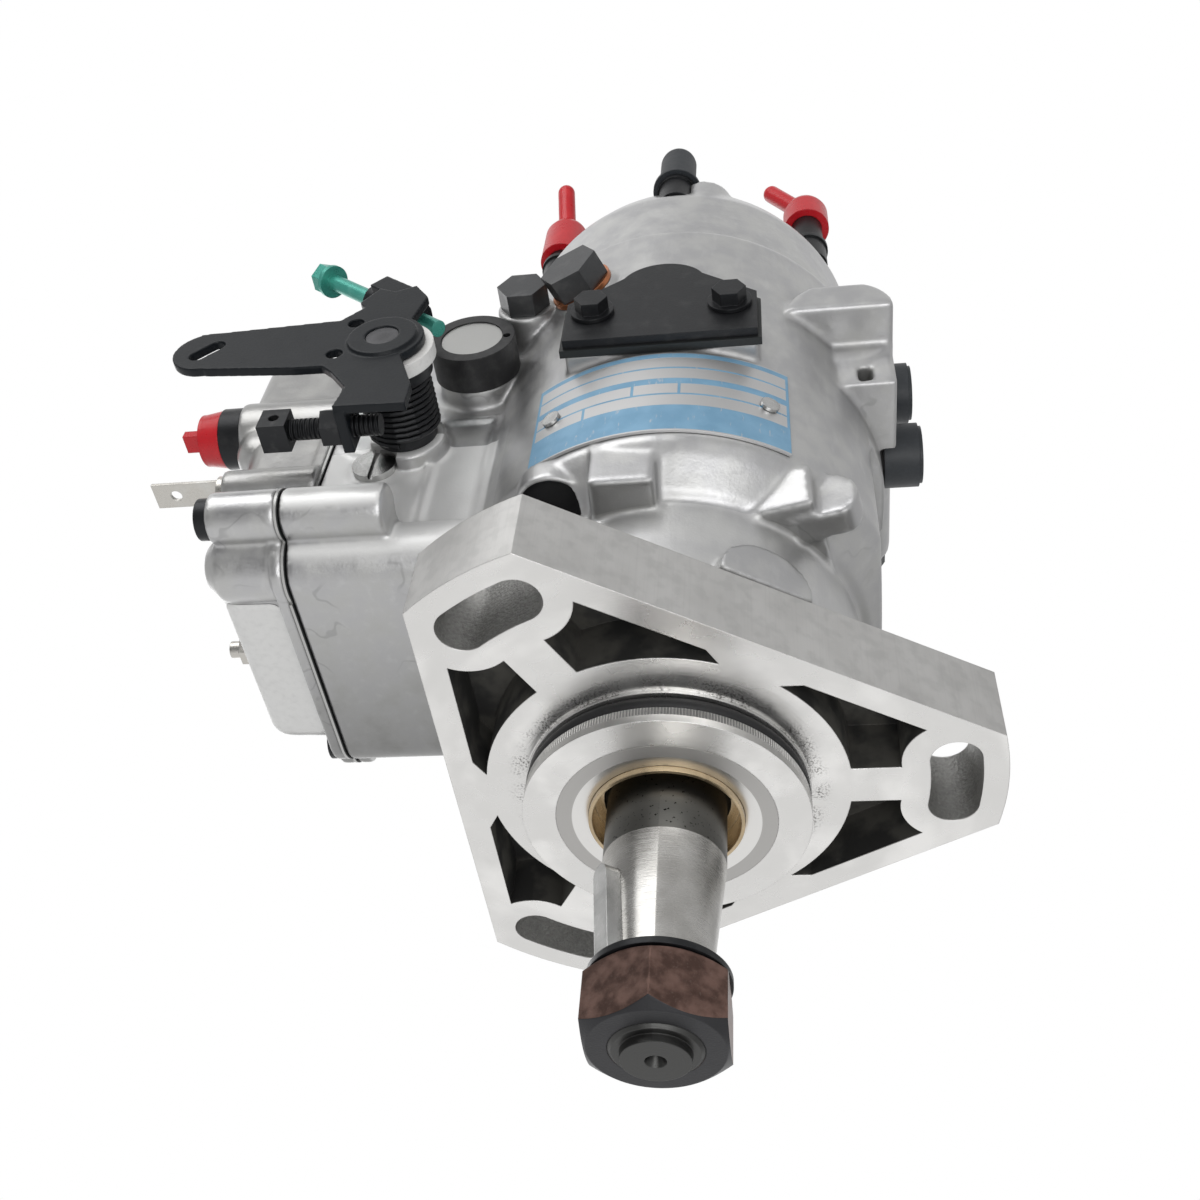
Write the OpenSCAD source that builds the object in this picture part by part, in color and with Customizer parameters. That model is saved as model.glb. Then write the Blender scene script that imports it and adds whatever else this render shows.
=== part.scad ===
// Rotary diesel injection pump with governor housing and throttle lever.
// Origin: shaft axis at the engine side face of the mounting flange.
// +Y runs back to the fuel outlets, +Z up to the governor cover, +X to the throttle side.

/* [Mounting flange] */
// Thickness of the flange plate
flange_t = 20.5; // [17:0.5:26]
// Distance from the shaft axis to each straight side
flange_side = 52.2; // [51:0.1:58]
// Radius of the rounded corners about the shaft axis
flange_corner_r = 79.4; // [77:0.1:90]
// Radius of the circle that the bolt slots follow
slot_circle_r = 67.6; // [66:0.1:70]
// Width of a bolt slot
slot_w = 12; // [8:0.5:13]
// Turn to each side that a slot allows, in degrees
slot_turn = 6.5; // [4:0.5:7]
// Depth of the cast pockets in the front face
pocket_depth = 14; // [8:0.5:16]
// Radius of the round hub left between the pockets
hub_r = 43.6; // [40:0.1:46]
// Radius of the pilot that centres the pump in the engine
pilot_r = 34; // [32:0.1:37]
// Height of the pilot in front of the flange
pilot_h = 9.65; // [8:0.05:13]

/* [Pump body] */
// Radius of the neck behind the flange
neck_r = 49; // [46:0.5:51]
// Radius of the round body
body_r = 60; // [59:0.5:66]
// Where the body ends and the hydraulic head shows
body_end = 172; // [171:0.5:178]
// Radius of the cavity for the governor weights
cavity_r = 50; // [47:0.5:52]

/* [Governor housing] */
// Half the width over the side walls
gov_half_w = 34.5; // [34:0.5:37]
// Thickness of the housing walls
gov_wall = 5; // [3.5:0.5:6]
// Front wall, measured from the flange face
gov_front = 45; // [43:0.5:46]
// Rear wall, measured from the flange face
gov_rear = 163; // [160:0.5:168]
// Height of the joint with the cover above the shaft axis
gov_top = 97.5; // [96:0.5:104]
// Height of the front of the cover above the joint
cover_front_h = 23; // [20:0.5:26]
// Height of the raised rear of the cover above the joint
cover_rear_h = 33; // [32:0.5:38]

/* [Drive shaft] */
// Radius of the shaft in its bushings; the taper's big end is a little smaller
journal_r = 15; // [13:0.1:16]
// Length of the taper
taper_len = 29.7; // [27:0.1:33]
// Radius of the threaded nose
thread_r = 10; // [9:0.1:10.5]
// Nut size across flats
nut_af = 30; // [27:1:32]
// Length of the key
key_len = 22; // [18:0.5:27]

/* [Governor and pumping parts] */
// Number of governor weights
weight_count = 4; // [4:1:4]
// Radius of the shaft where the weights run
spindle_r = 14; // [12:0.1:14.5]
// Outer radius of the cam ring
cam_r = 39; // [37:0.1:41]
// Radius of the cam ring between its lobes
cam_base_r = 27.5; // [27:0.1:28]
// Radius of each lobe inside the cam ring
lobe_r = 4.4; // [4.2:0.1:4.6]
// Number of cam lobes, which is the number of outlets
outlet_count = 6; // [6:1:6]
// Radius of the rotor shank
rotor_r = 12.7; // [11:0.1:13]
// Radius of the advance piston
advance_r = 9; // [8:0.1:9.5]
// Depth of the advance piston below the shaft axis
advance_z = 50; // [49:0.5:51]

/* [Hydraulic head] */
// Radius of the head where it shows behind the body
head_r = 55.5; // [54:0.1:58]
// Rear face of the head, measured from the flange face
head_end = 218; // [216:0.5:224]
// Radius of the circle of outlets
outlet_circle_r = 49.5; // [48:0.1:50]

/* [Throttle] */
// Height of the throttle shaft above the pump shaft
throttle_z = 73.5; // [72:0.5:76]
// Throttle shaft position behind the flange face
throttle_y = 100; // [98:0.5:103]
// Radius of the throttle shaft
throttle_r = 4.5; // [4:0.1:5]
// Distance of the lever plate from the side wall of the governor housing
lever_gap = 34; // [32.5:0.5:37.5]
// Length of the lever from the shaft to its eye
lever_len = 50.5; // [40:0.5:60]
// Thickness of the lever plate
lever_t = 2.6; // [2.5:0.1:4]

/* [Hidden] */
$fn = 64;

lever_x = gov_half_w + lever_gap;

// Fits and gaps
fit = 0.05;
run_gap = 0.03;
seat_gap = 0.3;
big = 400;

// Corners of the flange, as turns about the shaft axis
corner_angles = [30, 150, 270];
slot_boss_r = slot_w / 2 + 6.4;
pocket_rim = 6.6;
pocket_web = 5.7;

// Pilot bore and seal
pilot_bore_r = 26.1;
seal_pocket = 7.4;
bushing_r = 18.4;
bushing_len = 26.6;
bushing_nose = 0.5;
bushing_lip = 0.9;
relief_end = -3.5;
seal_cone_r = 22.3;
oring_back = 0.9;
oring_groove = 4.6;
oring_r = 2.05;
oring_seat_r = pilot_r - 2 * oring_r - 0.1;

// Shaft stations
taper_front = -22.8 - taper_len;
taper_big_r = journal_r - 0.8;
taper_small_r = taper_big_r - taper_len / 10;
washer_t = 1.6;
nut_t = 15;
nut_front = taper_front - washer_t - nut_t;
nose_end = nut_front - 2.5;
spindle_start = 50;
spindle_end = 122;

// Housing stations
neck_end = 49.8;
body_start = 61;
web_front = 34;
cavity_start = 60;
cavity_end = 124;
cam_start = 128;
cam_end = 150;
cam_y = (cam_start + cam_end) / 2;
head_start = 153;
head_bore_r = 45;
gov_inner = gov_half_w - gov_wall;
gasket_t = 1;
cover_base = gov_top + gasket_t;
lug_r = 7;
// Screw lugs: place in X and Y, lower end and upper end in Z
lugs = [[gov_half_w + 10, 59, 70, cover_base + 19], [-gov_half_w - 3.5, 57, 93, cover_base + 4], [0, gov_rear + 3, 70, cover_base + 19]];
column = [gov_half_w - 5, 55.5, 10.5];

screw_r = 3;
side_cap_x = gov_half_w + 6.5;
plug_x = 50.5;
side_plug = [149, 43.5];
underside_x = 2;
cap_clear_r = 10;
pivot_head_r = 6.3;
underside_ys = [128.6, 162.5];

// Governor mechanism
arm_pivot = [90.6, 82];
pivot_r = 3;
sleeve_front = 84;
sleeve_end = 113;
weight_pivot = [34, 117];
weight_w = 22;
link_z = 54;
valve_y = 160;
valve_arm = 6;

// Rotor stations
rotor_start = 124;
rotor_head_r = 20.5;
roller_r = 4;
roller_x = 21.7;
plunger_r = 4.2;
pump_start = 197;
pump_end = 209;
liner_r = 30;
liner_shift = 1.6;

// Points along Y from a to b, with the drawing in the plane of X and Z
module along_y(a, b) { translate([0, b, 0]) rotate([90, 0, 0]) linear_extrude(height = b - a) children(); }
module rod_y(x, z, r, a, b) { translate([x, b, z]) rotate([90, 0, 0]) cylinder(h = b - a, r = r); }
module rod_x(y, z, r, a, b) { translate([a, y, z]) rotate([0, 90, 0]) cylinder(h = b - a, r = r); }
module rod_z(x, y, r, a, b) { translate([x, y, a]) cylinder(h = b - a, r = r); }
// The drawing's x is the radius and its y the station along the shaft
module turned_y() { rotate([-90, 0, 0]) rotate_extrude() children(); }
module block(x0, x1, y0, y1, z0, z1) { translate([x0, y0, z0]) cube([x1 - x0, y1 - y0, z1 - z0]); }
module hex_z(af, h) { cylinder(h = h, r = af / sqrt(3), $fn = 6); }
module ring_y(r_out, r_in, a, b) {
    difference() {
        rod_y(0, 0, r_out, a, b);
        rod_y(0, 0, r_in, a - 1, b + 1);
    }
}
module ring_x(y, z, r_out, r_in, a, b) {
    difference() {
        rod_x(y, z, r_out, a, b);
        rod_x(y, z, r_in, a - 1, b + 1);
    }
}

// Flange drawing, in the plane of X and Z
module arc_slot(r, width, turn) {
    waist = 0.02;
    intersection() {
        difference() {
            circle(r = r + width / 2 - waist);
            circle(r = r - width / 2 + waist);
        }
        polygon([[0, 0], [big * cos(turn), -big * sin(turn)], [big * cos(turn), big * sin(turn)]]);
    }
    for (side = [-1, 1]) rotate(side * turn) translate([r, 0]) circle(d = width);
}
module flange_outline() {
    intersection() {
        circle(r = flange_corner_r, $fn = 128);
        polygon([for (a = corner_angles) 2 * flange_side * [cos(a), sin(a)]]);
    }
}
module pocket_outline() {
    rim = flange_side - pocket_rim;
    far_b = 33.5;
    difference() {
        polygon([[20, pocket_web], [75, pocket_web], [75, (rim - 37.5) / sin(60)],
            [(rim - far_b * sin(60)) / cos(60), far_b], [20, far_b]]);
        circle(r = hub_r);
        arc_slot(slot_circle_r, 2 * slot_boss_r, slot_turn);
    }
}
module mounting_flange() {
    color("silver") difference() {
        union() {
            along_y(0, flange_t) flange_outline();
            rod_y(0, 0, pilot_r, -pilot_h, 1);
        }
        along_y(-1, flange_t + 1) for (a = corner_angles) rotate(a) arc_slot(slot_circle_r, slot_w, slot_turn);
        along_y(-1, pocket_depth) for (a = corner_angles) rotate(a) {
            pocket_outline();
            mirror([0, 1]) pocket_outline();
        }
        ring_y(pilot_r + 5, oring_seat_r, -oring_back - oring_groove, -oring_back);
        rod_y(0, 0, pilot_bore_r, -pilot_h - 1, seal_pocket - pilot_h);
        rod_y(0, 0, bushing_r, -pilot_h - 1, flange_t + 1);
    }
}
module pilot_oring() {
    color([0.08, 0.08, 0.08]) turned_y()
        translate([oring_seat_r + oring_r + fit, -oring_back - oring_groove / 2]) circle(r = oring_r, $fn = 32);
}
module front_seal() {
    color([0.5, 0.5, 0.5]) turned_y() polygon([[bushing_r + fit, -pilot_h + 1], [seal_cone_r, -pilot_h],
        [pilot_bore_r - fit, -pilot_h], [pilot_bore_r - fit, seal_pocket - pilot_h - fit], [bushing_r + fit, seal_pocket - pilot_h - fit]]);
}
module shaft_bushings() {
    color("goldenrod") {
        turned_y() polygon([[bushing_r - run_gap, -pilot_h - bushing_nose],
            [bushing_r - run_gap, bushing_len - pilot_h - bushing_nose],
            [journal_r + run_gap, bushing_len - pilot_h - bushing_nose], [journal_r + run_gap, relief_end],
            [bushing_r - bushing_lip, relief_end], [bushing_r - bushing_lip, -pilot_h - bushing_nose]]);
        ring_y(bushing_r - run_gap, journal_r + run_gap, web_front + fit, spindle_start - 4);
    }
}

// Place of the plug that points up and outward beside the outlets
module angled_plug() { rotate([0, -24, 0]) translate([61.3, 146.5, 0]) rotate([0, 90, 0]) children(); }

// Outline of the governor housing seen from above, in the plane of X and Y
module gov_outline(grow = 0) {
    r = 9;
    translate([-gov_half_w, gov_front + 25]) square([2 * gov_half_w, gov_rear - gov_front - 25 - r]);
    translate([-gov_half_w + r, gov_rear - r - 1]) square([2 * (gov_half_w - r), r + 1]);
    translate([-column[0], gov_front]) square([2 * column[0] - 4, 30]);
    translate([-column[0] - 5, gov_front + 12]) square([2 * column[0] + 10, 20]);
    for (side = [-1, 1]) {
        translate([side * (gov_half_w - r), gov_rear - r]) circle(r = r);
        translate([side * column[0], column[1]]) circle(r = column[2]);
    }
}
module one_lug(p) {
    translate([p[0], p[1]]) circle(r = lug_r);
    translate([p[0] - sign(p[0]) * 8, p[1] - (p[0] == 0 ? 8 : 0)]) square(11, center = true);
}
module housing_outer() {
    turned_y() polygon([[0, flange_t], [neck_r - 2, flange_t], [neck_r, flange_t + 5], [neck_r, neck_end],
        [neck_r + 2.4, neck_end + 1], [body_r - 2, body_start - 3], [body_r, body_start],
        [body_r, body_end - 1], [body_r - 1, body_end], [0, body_end]]);
    translate([0, 0, 28]) linear_extrude(height = gov_top - 28) gov_outline();
    for (p = lugs) translate([0, 0, p[2]]) linear_extrude(height = gov_top - p[2]) one_lug(p);
    // Flat seat of the timing window
    window_plate(40, window_seat, 0);
    // Cast blocks that carry the body diameter forward over the neck
    block(40, body_r - 1.8, 46.5, body_start + 2, -0.3, 16);
    rotate([0, -12.3, 0]) translate([0, 0, -46.9]) linear_extrude(height = 27)
        polygon([[10, 48.2], [38.2, 48.2], [41.3, 58.9], [40, 61.6], [10, 61.6]]);
    // Round ear beside the sloped block
    intersection() {
        rotate([0, -12.3, 0]) rod_x(54.5, -47.6, 9.7, 27, 34.5);
        block(0, 60, 47.3, 70, -80, 0);
    }
    // Half round lug on the neck
    intersection() {
        rotate([0, 31, 0]) rod_x(24, 0, 12, 30, neck_r + 2.4);
        block(0, 60, 22.6, 45, -50, 0);
    }
    // Shaft bosses on the side wall
    rod_x(throttle_y, throttle_z, 11, gov_half_w - 2, gov_half_w + 5);
    rod_x(130, 57, 12, 10, side_cap_x);
    rod_x(arm_pivot[0], arm_pivot[1], 7.5, gov_half_w - 2, gov_half_w + 0.8);
    rod_x(108, 84, 11, gov_half_w - 2, gov_half_w + 1.2);
    // Seats of the two hexagon plugs
    rod_x(side_plug[0], side_plug[1], 8.5, 30, plug_x);
    angled_plug() rod_z(0, 0, 10, -8, 0);
    // Stubs under the screw caps
    for (y = underside_ys) rod_z(underside_x, y, 6.5, -body_r - 4, -body_r + 8);
    // Advance cylinder across the bottom, with its stepped ends
    difference() {
        union() {
            rod_x(cam_y, -advance_z, 14, -40, 38);
            intersection() {
                rod_x(cam_y - 5, -advance_z + 1, 15, -10, 51);
                block(-10, 51, cam_y - 5, cam_y + 8, -80, 0);
            }
        }
        for (y = underside_ys) rod_z(underside_x, y, cap_clear_r, -80, -body_r - 0.5);
    }
    block(14, 37, 115, cam_y, -advance_z - 13.5, -40);
    // Raised frame on the side wall
    difference() {
        block(gov_half_w - 2, gov_half_w + 1, 53.5, 114, 48.2, 67.2);
        block(gov_half_w, gov_half_w + 2, 55.7, 111.8, 50.4, 65);
    }
    // Hood over the recess beside the front block
    rod_y(45, 27, 9.4, 55, 62.6);
}
module housing_cavities() {
    block(-80, 80, neck_end, 108, -90, -54.8);
    rod_y(0, 0, bushing_r, flange_t - 1, cavity_start + 1);
    rod_y(0, 0, 26, flange_t - 1, web_front);
    rod_y(0, 0, 36, 50, cavity_start + 1);
    rod_y(0, 0, cavity_r, cavity_start, cavity_end);
    rod_y(0, 0, cam_r + 0.1, cavity_end - 1, head_start + 1);
    rod_y(0, 0, head_bore_r, head_start, body_end + 1);
    // Room above the shaft, open to the cover
    block(-gov_inner, gov_inner, gov_front + gov_wall + 8, 124, 20, gov_top + 1);
    block(-gov_inner, gov_inner, 123, gov_rear - gov_wall, 47, gov_top + 1);
    // Throttle shaft, pivot shaft and plug bores
    rod_x(throttle_y, throttle_z, throttle_r + run_gap, gov_inner - 1, gov_half_w + 6);
    rod_x(throttle_y, throttle_z, throttle_r + run_gap, -gov_half_w + 2, -gov_inner + 1);
    rod_x(arm_pivot[0], arm_pivot[1], pivot_r + fit, -gov_half_w + 1.5, gov_half_w + 2);
    // Metering valve well
    rod_z(0, valve_y, 5.1, 40, 50);
    rod_z(0, valve_y, 10, 47, 58);
    // Threads of the side plugs
    rod_x(side_plug[0], side_plug[1], 5 + fit, plug_x - 9, plug_x + 1);
    angled_plug() rod_z(0, 0, 6 + fit, -9, 1);
    // Advance bore, its pin slot and its threaded ends
    rod_x(cam_y, -advance_z, advance_r + run_gap, -41, 26);
    rod_x(cam_y, -advance_z, advance_r + 2, -41, -28);
    block(-9, 9, cam_y - 4.5, cam_y + 4.5, -advance_z, -30);
    // Slot in the step beside the advance cylinder
    block(29, 38, 117, cam_y - 15, -57, -53);
    // Timing window
    block(46, 63, 104, 122, -14, 14);
    for (z = [-1, 1] * window_bolt[1]) rod_x(window_bolt[0], z, 2.6, 48, 62);
    // Recess under the hood
    rod_y(45, 27, 7.8, 50, cavity_start - 1.2);
    // Spot faces of the advance plug and of the pivot shaft's head
    rod_x(cam_y, -advance_z, 13.4, -body_r - 2, -40);
    rod_x(arm_pivot[0], arm_pivot[1], pivot_head_r + 0.3, gov_half_w + 0.8, gov_half_w + 6);
    rod_x(66, 76, 2.2, gov_inner + 0.5, gov_half_w + 20);
    for (p = lugs) rod_z(p[0], p[1], screw_r + fit, gov_top - 18, gov_top + 1);
}
module pump_housing() {
    color([0.75, 0.76, 0.77]) difference() {
        housing_outer();
        housing_cavities();
    }
}

// Hydraulic head, with the transfer pump at its rear
module at_outlets(list) { for (i = list) rotate([0, -i * 360 / outlet_count, 0]) translate([outlet_circle_r, 0, 0]) children(); }
all_outlets = [for (i = [0 : outlet_count - 1]) i];
head_shoulder = head_end - 13;
end_cap_r = 38;
end_cap_t = 9;
cap_screw_r = 2.5;
cap_screw_angles = [45, 135, 225, 315];
fitting_thread_r = 6;
fitting_barrel_r = 5.3;
fitting_end = head_end + 22;
cap_face = head_end + end_cap_t;
module at_cap_screws() { for (a = cap_screw_angles) rotate([0, a, 0]) translate([end_cap_r - 4.2, 0, 0]) children(); }
module hydraulic_head() {
    color([0.62, 0.6, 0.57]) difference() {
        union() {
            turned_y() polygon([[0, head_start + seat_gap], [head_bore_r - fit, head_start + seat_gap],
                [head_bore_r - fit, body_end + fit], [head_r, body_end + fit], [head_r, head_shoulder],
                [head_r - 0.8, head_shoulder + 3], [head_r - 3.6, head_end - 2.5], [head_r - 6, head_end],
                [0, head_end]]);
            at_outlets(all_outlets) rod_y(-2, 0, 7, head_end - 6, head_end + 0.6);
            rod_y(45, -9, 9.5, head_shoulder - 8, head_end - 1);
        }
        rod_y(0, 0, rotor_r + 0.02, head_start - 1, pump_start);
        rod_y(0, 0, liner_r + fit, pump_start - seat_gap, head_end + 1);
        rod_z(0, valve_y, 4 + run_gap, 30, 50);
        rod_z(0, valve_y, 1.5, rotor_r - 1, 31);
        at_outlets(all_outlets) rod_y(0, 0, fitting_thread_r + fit, head_end - 11, head_end + 2);
        at_cap_screws() rod_y(0, 0, cap_screw_r + fit, head_end - 10, head_end + 1);
    }
}
module pump_liner() {
    color([0.45, 0.45, 0.47]) difference() {
        rod_y(0, 0, liner_r, pump_start, pump_end);
        rod_y(liner_shift, 0, rotor_r + 2.2, pump_start - 1, pump_end + 1);
    }
}
module end_cap() {
    color([0.7, 0.71, 0.72]) difference() {
        union() {
            turned_y() polygon([[0, pump_end + 0.1], [liner_r - fit, pump_end + 0.1], [liner_r - fit, head_end + fit],
                [end_cap_r, head_end + fit], [end_cap_r, cap_face - 1.5], [end_cap_r - 1.5, cap_face], [0, cap_face]]);
            rod_y(0, 14, 12, cap_face - 1, cap_face + 3);
            rod_y(0, -14, 12, cap_face - 1, cap_face + 3);
        }
        rod_y(0, 14, 6 + fit, pump_end + 5, cap_face + 4);
        rod_y(0, -14, 8 + fit, pump_end + 5, cap_face + 4);
        at_cap_screws() rod_y(0, 0, cap_screw_r + 0.3, head_end - 1, cap_face + 1);
    }
}
module end_cap_screws() {
    color([0.2, 0.2, 0.21]) at_cap_screws() difference() {
        union() {
            rod_y(0, 0, cap_screw_r, head_end - 9, cap_face + 1);
            rod_y(0, 0, 4.2, cap_face + fit, cap_face + 5);
        }
        translate([0, cap_face + 6, 0]) rotate([90, 0, 0]) hex_z(4, 4);
    }
}
module hex_y(x, z, af, a, b) { translate([x, b, z]) rotate([90, 0, 0]) hex_z(af, b - a); }
module regulator_plug() {
    color([0.5, 0.5, 0.5]) {
        rod_y(0, -14, 8, pump_end + 8, cap_face + 3 + fit);
        hex_y(0, -14, 19, cap_face + 3 + fit, cap_face + 11);
        rod_y(0, -14, 5, cap_face + 10, cap_face + 14);
    }
}
module inlet_fitting() {
    color([0.16, 0.16, 0.17]) difference() {
        union() {
            rod_y(0, 14, 6, pump_end + 8, cap_face + 3 + fit);
            hex_y(0, 14, 19, cap_face + 3 + fit, cap_face + 12);
            translate([0, 0, 14]) turned_y() polygon([[0, cap_face + 11], [5, cap_face + 11], [5, cap_face + 22],
                [5.7, cap_face + 23], [5, cap_face + 28], [0, cap_face + 28]]);
        }
        rod_y(0, 14, 3.2, pump_end + 7, cap_face + 30);
    }
}
module outlet_fittings() {
    color([0.15, 0.16, 0.18]) at_outlets(all_outlets) difference() {
        union() {
            rod_y(0, 0, fitting_thread_r, head_end - 10, head_end + 1);
            rod_y(0, 0, 6.6, head_end + 0.65, head_end + 2.5);
            rod_y(0, 0, fitting_barrel_r, head_end + 2, fitting_end);
        }
        rod_y(0, 0, 1.2, head_end - 9, fitting_end + 1);
    }
}
// Push-on cap from a given start: a skirt, a domed end and a thin stem that leans by the given angles
module push_cap(start, dome_y, lean_x, lean_z) {
    y = head_end + start;
    difference() {
        turned_y() {
            polygon([[0, y], [7.8, y], [7.8, dome_y], [0, dome_y]]);
            translate([0, dome_y - 0.5]) intersection() {
                circle(r = 7.6);
                square([8, 8]);
            }
        }
        rod_y(0, 0, fitting_barrel_r + fit, y - 1, fitting_end + 0.1);
    }
    translate([0, dome_y + 2, 0]) rotate([lean_x, 0, lean_z]) {
        rod_y(0, 0, 3.1, 0, 21);
        translate([0, 21, 0]) sphere(r = 3.1, $fn = 24);
    }
}
module outlet_caps() {
    color([0.8, 0.13, 0.15]) {
        at_outlets([1]) push_cap(7, fitting_end + 3.5, -17, -14);
        at_outlets([5]) push_cap(17.5, fitting_end + 6, 16, 29);
        at_outlets([2, 3, 4]) push_cap(10, fitting_end + 3, 0, 0);
    }
}
module outlet_cap_black() {
    y = head_end + 2.8;
    color([0.2, 0.21, 0.22]) at_outlets([0]) difference() {
        turned_y() {
            polygon([[0, y], [8, y], [8, y + 1.5], [6.1, y + 5.5], [6.1, fitting_end + 1.5], [0, fitting_end + 1.5]]);
            translate([0, fitting_end + 1]) intersection() {
                circle(r = 6.1);
                square([7, 7]);
            }
        }
        rod_y(0, 0, fitting_barrel_r + fit, y - 1, fitting_end + 0.1);
    }
}
module advance_plug() {
    color([0.3, 0.3, 0.31]) {
        rod_x(cam_y, -advance_z, advance_r + 1.95, -40, -29);
        translate([-48, cam_y, -advance_z]) rotate([0, 90, 0]) hex_z(22, 8);
    }
}

// Governor cover: base plate with screw lugs, a low front dome and a raised rear dome
dome_r = 7;
module dome(y0, y1, top0, top1) {
    half = gov_half_w - dome_r - 1.5;
    hull() for (x = [-half, half]) {
        for (q = [[y0, top0], [y1, top1]]) translate([x, q[0], q[1] - dome_r]) sphere(r = dome_r, $fn = 24);
        for (y = [y0, y1]) rod_z(x, y, dome_r + 0.5, cover_base, cover_base + 1);
    }
}
dome_front = gov_front + 12.5;
dome_split = 114;
dome_rear = gov_rear - 11;
front_top = cover_base + cover_front_h;
rear_top = cover_base + cover_rear_h;
return_at = [gov_half_w - 9.5, 126];
spade_at = [gov_half_w - 3, 89.2];
module governor_cover() {
    color([0.74, 0.75, 0.76]) difference() {
        union() {
            translate([0, 0, cover_base]) linear_extrude(height = 3.5) {
                gov_outline();
                for (p = lugs) one_lug(p);
            }
            dome(dome_front, dome_split, front_top, front_top + 5);
            dome(dome_split, dome_rear, rear_top, rear_top);
            for (p = lugs) rod_z(p[0], p[1], lug_r, cover_base, p[3]);
            translate([column[0] + 0.5, 56.5, cover_base]) cylinder(h = cover_front_h - 4, r = 9.5);
            translate([column[0] + 0.5, 56.5, front_top - 4]) cylinder(h = 4, r1 = 9.5, r2 = 6);
            rod_z(return_at[0], return_at[1], 10.5, cover_base, rear_top);
            rod_z(spade_at[0], spade_at[1], 6, cover_base, front_top + 4.5);
        }
        block(-gov_inner + 2, gov_inner - 2, dome_front - 1, dome_split + 4, cover_base - 1, front_top - 5);
        block(-gov_inner + 2, gov_inner - 2, dome_split, dome_rear, cover_base - 1, rear_top - 5);
        for (p = lugs) rod_z(p[0], p[1], screw_r + 0.3, cover_base - 1, p[3] + 1);
        for (p = lugs) rod_z(p[0], p[1], 5.9, p[3], p[3] + 4);
        rod_z(return_at[0], return_at[1], 5 + fit, rear_top - 8, rear_top + 1);
        rod_z(spade_at[0], spade_at[1], 2.5 + fit, front_top - 6, front_top + 6);
        rod_z(stud_at[0], stud_at[1], 2.5 + fit, front_top - 6, front_top + 6);
    }
}
stud_at = [-10, 68];
module gaskets() {
    color([0.1, 0.1, 0.1]) {
        difference() {
            translate([0, 0, gov_top]) linear_extrude(height = gasket_t) {
                gov_outline();
                for (p = lugs) one_lug(p);
            }
            block(-gov_inner, gov_inner, gov_front + gov_wall + 8, gov_rear - gov_wall, gov_top - 1, cover_base + 1);
            for (p = lugs) rod_z(p[0], p[1], screw_r + 0.3, gov_top - 1, cover_base + 1);
        }
        difference() {
            window_plate(window_seat, window_top, 1);
            block(46, 80, 104, 122, -14, 14);
            for (z = [-1, 1] * window_bolt[1]) rod_x(window_bolt[0], z, 2.8, 50, 80);
        }
    }
}
module cover_screws() {
    color([0.25, 0.25, 0.26]) for (p = lugs) {
        rod_z(p[0], p[1], screw_r, gov_top - 14, p[3] + 1);
        rod_z(p[0], p[1], 5.6, p[3] + fit, p[3] + 3.2);
    }
}
module cover_terminals() {
    color([0.7, 0.68, 0.62]) {
        rod_z(spade_at[0], spade_at[1], 2.5, front_top - 5, front_top + 5);
        rod_z(spade_at[0], spade_at[1], 4.5, front_top + 4.5 + fit, front_top + 6.5);
        translate([spade_at[0], spade_at[1], front_top + 6.4]) difference() {
            translate([-4, -0.5, 0]) cube([8, 1, 20]);
            translate([0, 1, 13.5]) rotate([90, 0, 0]) cylinder(h = 2, r = 1.7);
        }
        rod_z(stud_at[0], stud_at[1], 2.5, front_top - 5, front_top + 10);
        translate([stud_at[0], stud_at[1], front_top + 2.5]) hex_z(8, 4);
    }
}
module return_fitting() {
    color([0.2, 0.21, 0.2]) translate([return_at[0], return_at[1], rear_top + fit]) difference() {
        union() {
            translate([0, 0, -7]) cylinder(h = 8, r = 5);
            cylinder(h = 2, r = 8);
            cylinder(h = 6.5, r = 9.4);
            cylinder(h = 12.5, r = 4.5);
        }
        translate([0, 0, -8]) cylinder(h = 22, r = 2);
    }
}
module return_cap() {
    color([0.8, 0.13, 0.15]) translate([return_at[0], return_at[1], rear_top + 6.8]) {
        difference() {
            cylinder(h = 6, r1 = 9, r2 = 8);
            translate([0, 0, -1]) cylinder(h = 9, r = 4.5 + fit);
        }
        translate([0, 0, 6.5]) cylinder(h = 1, r = 6);
        translate([0, 0, 5.9]) cylinder(h = 1, r = 8);
        translate([-3, -1.5, 6.8]) cube([6, 3, 7]);
    }
}
module shutoff_solenoid() {
    color([0.3, 0.3, 0.32]) {
        block(-13, 13, 120, 150, rear_top - 23, rear_top - 5 - fit);
        rod_x(125, rear_top - 27, 1.5, -12, 12);
        for (x = [-12, 10]) block(x, x + 2, 122, 128, rear_top - 29, rear_top - 22.5);
    }
}
module shutoff_arm() {
    color([0.6, 0.6, 0.6]) difference() {
        union() {
            block(-8, 8, 123, 127.5, link_z + 6, rear_top - 25);
            rod_x(125, rear_top - 27, 3.5, -8, 8);
        }
        rod_x(125, rear_top - 27, 1.5 + run_gap, -9, 9);
    }
}

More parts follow.
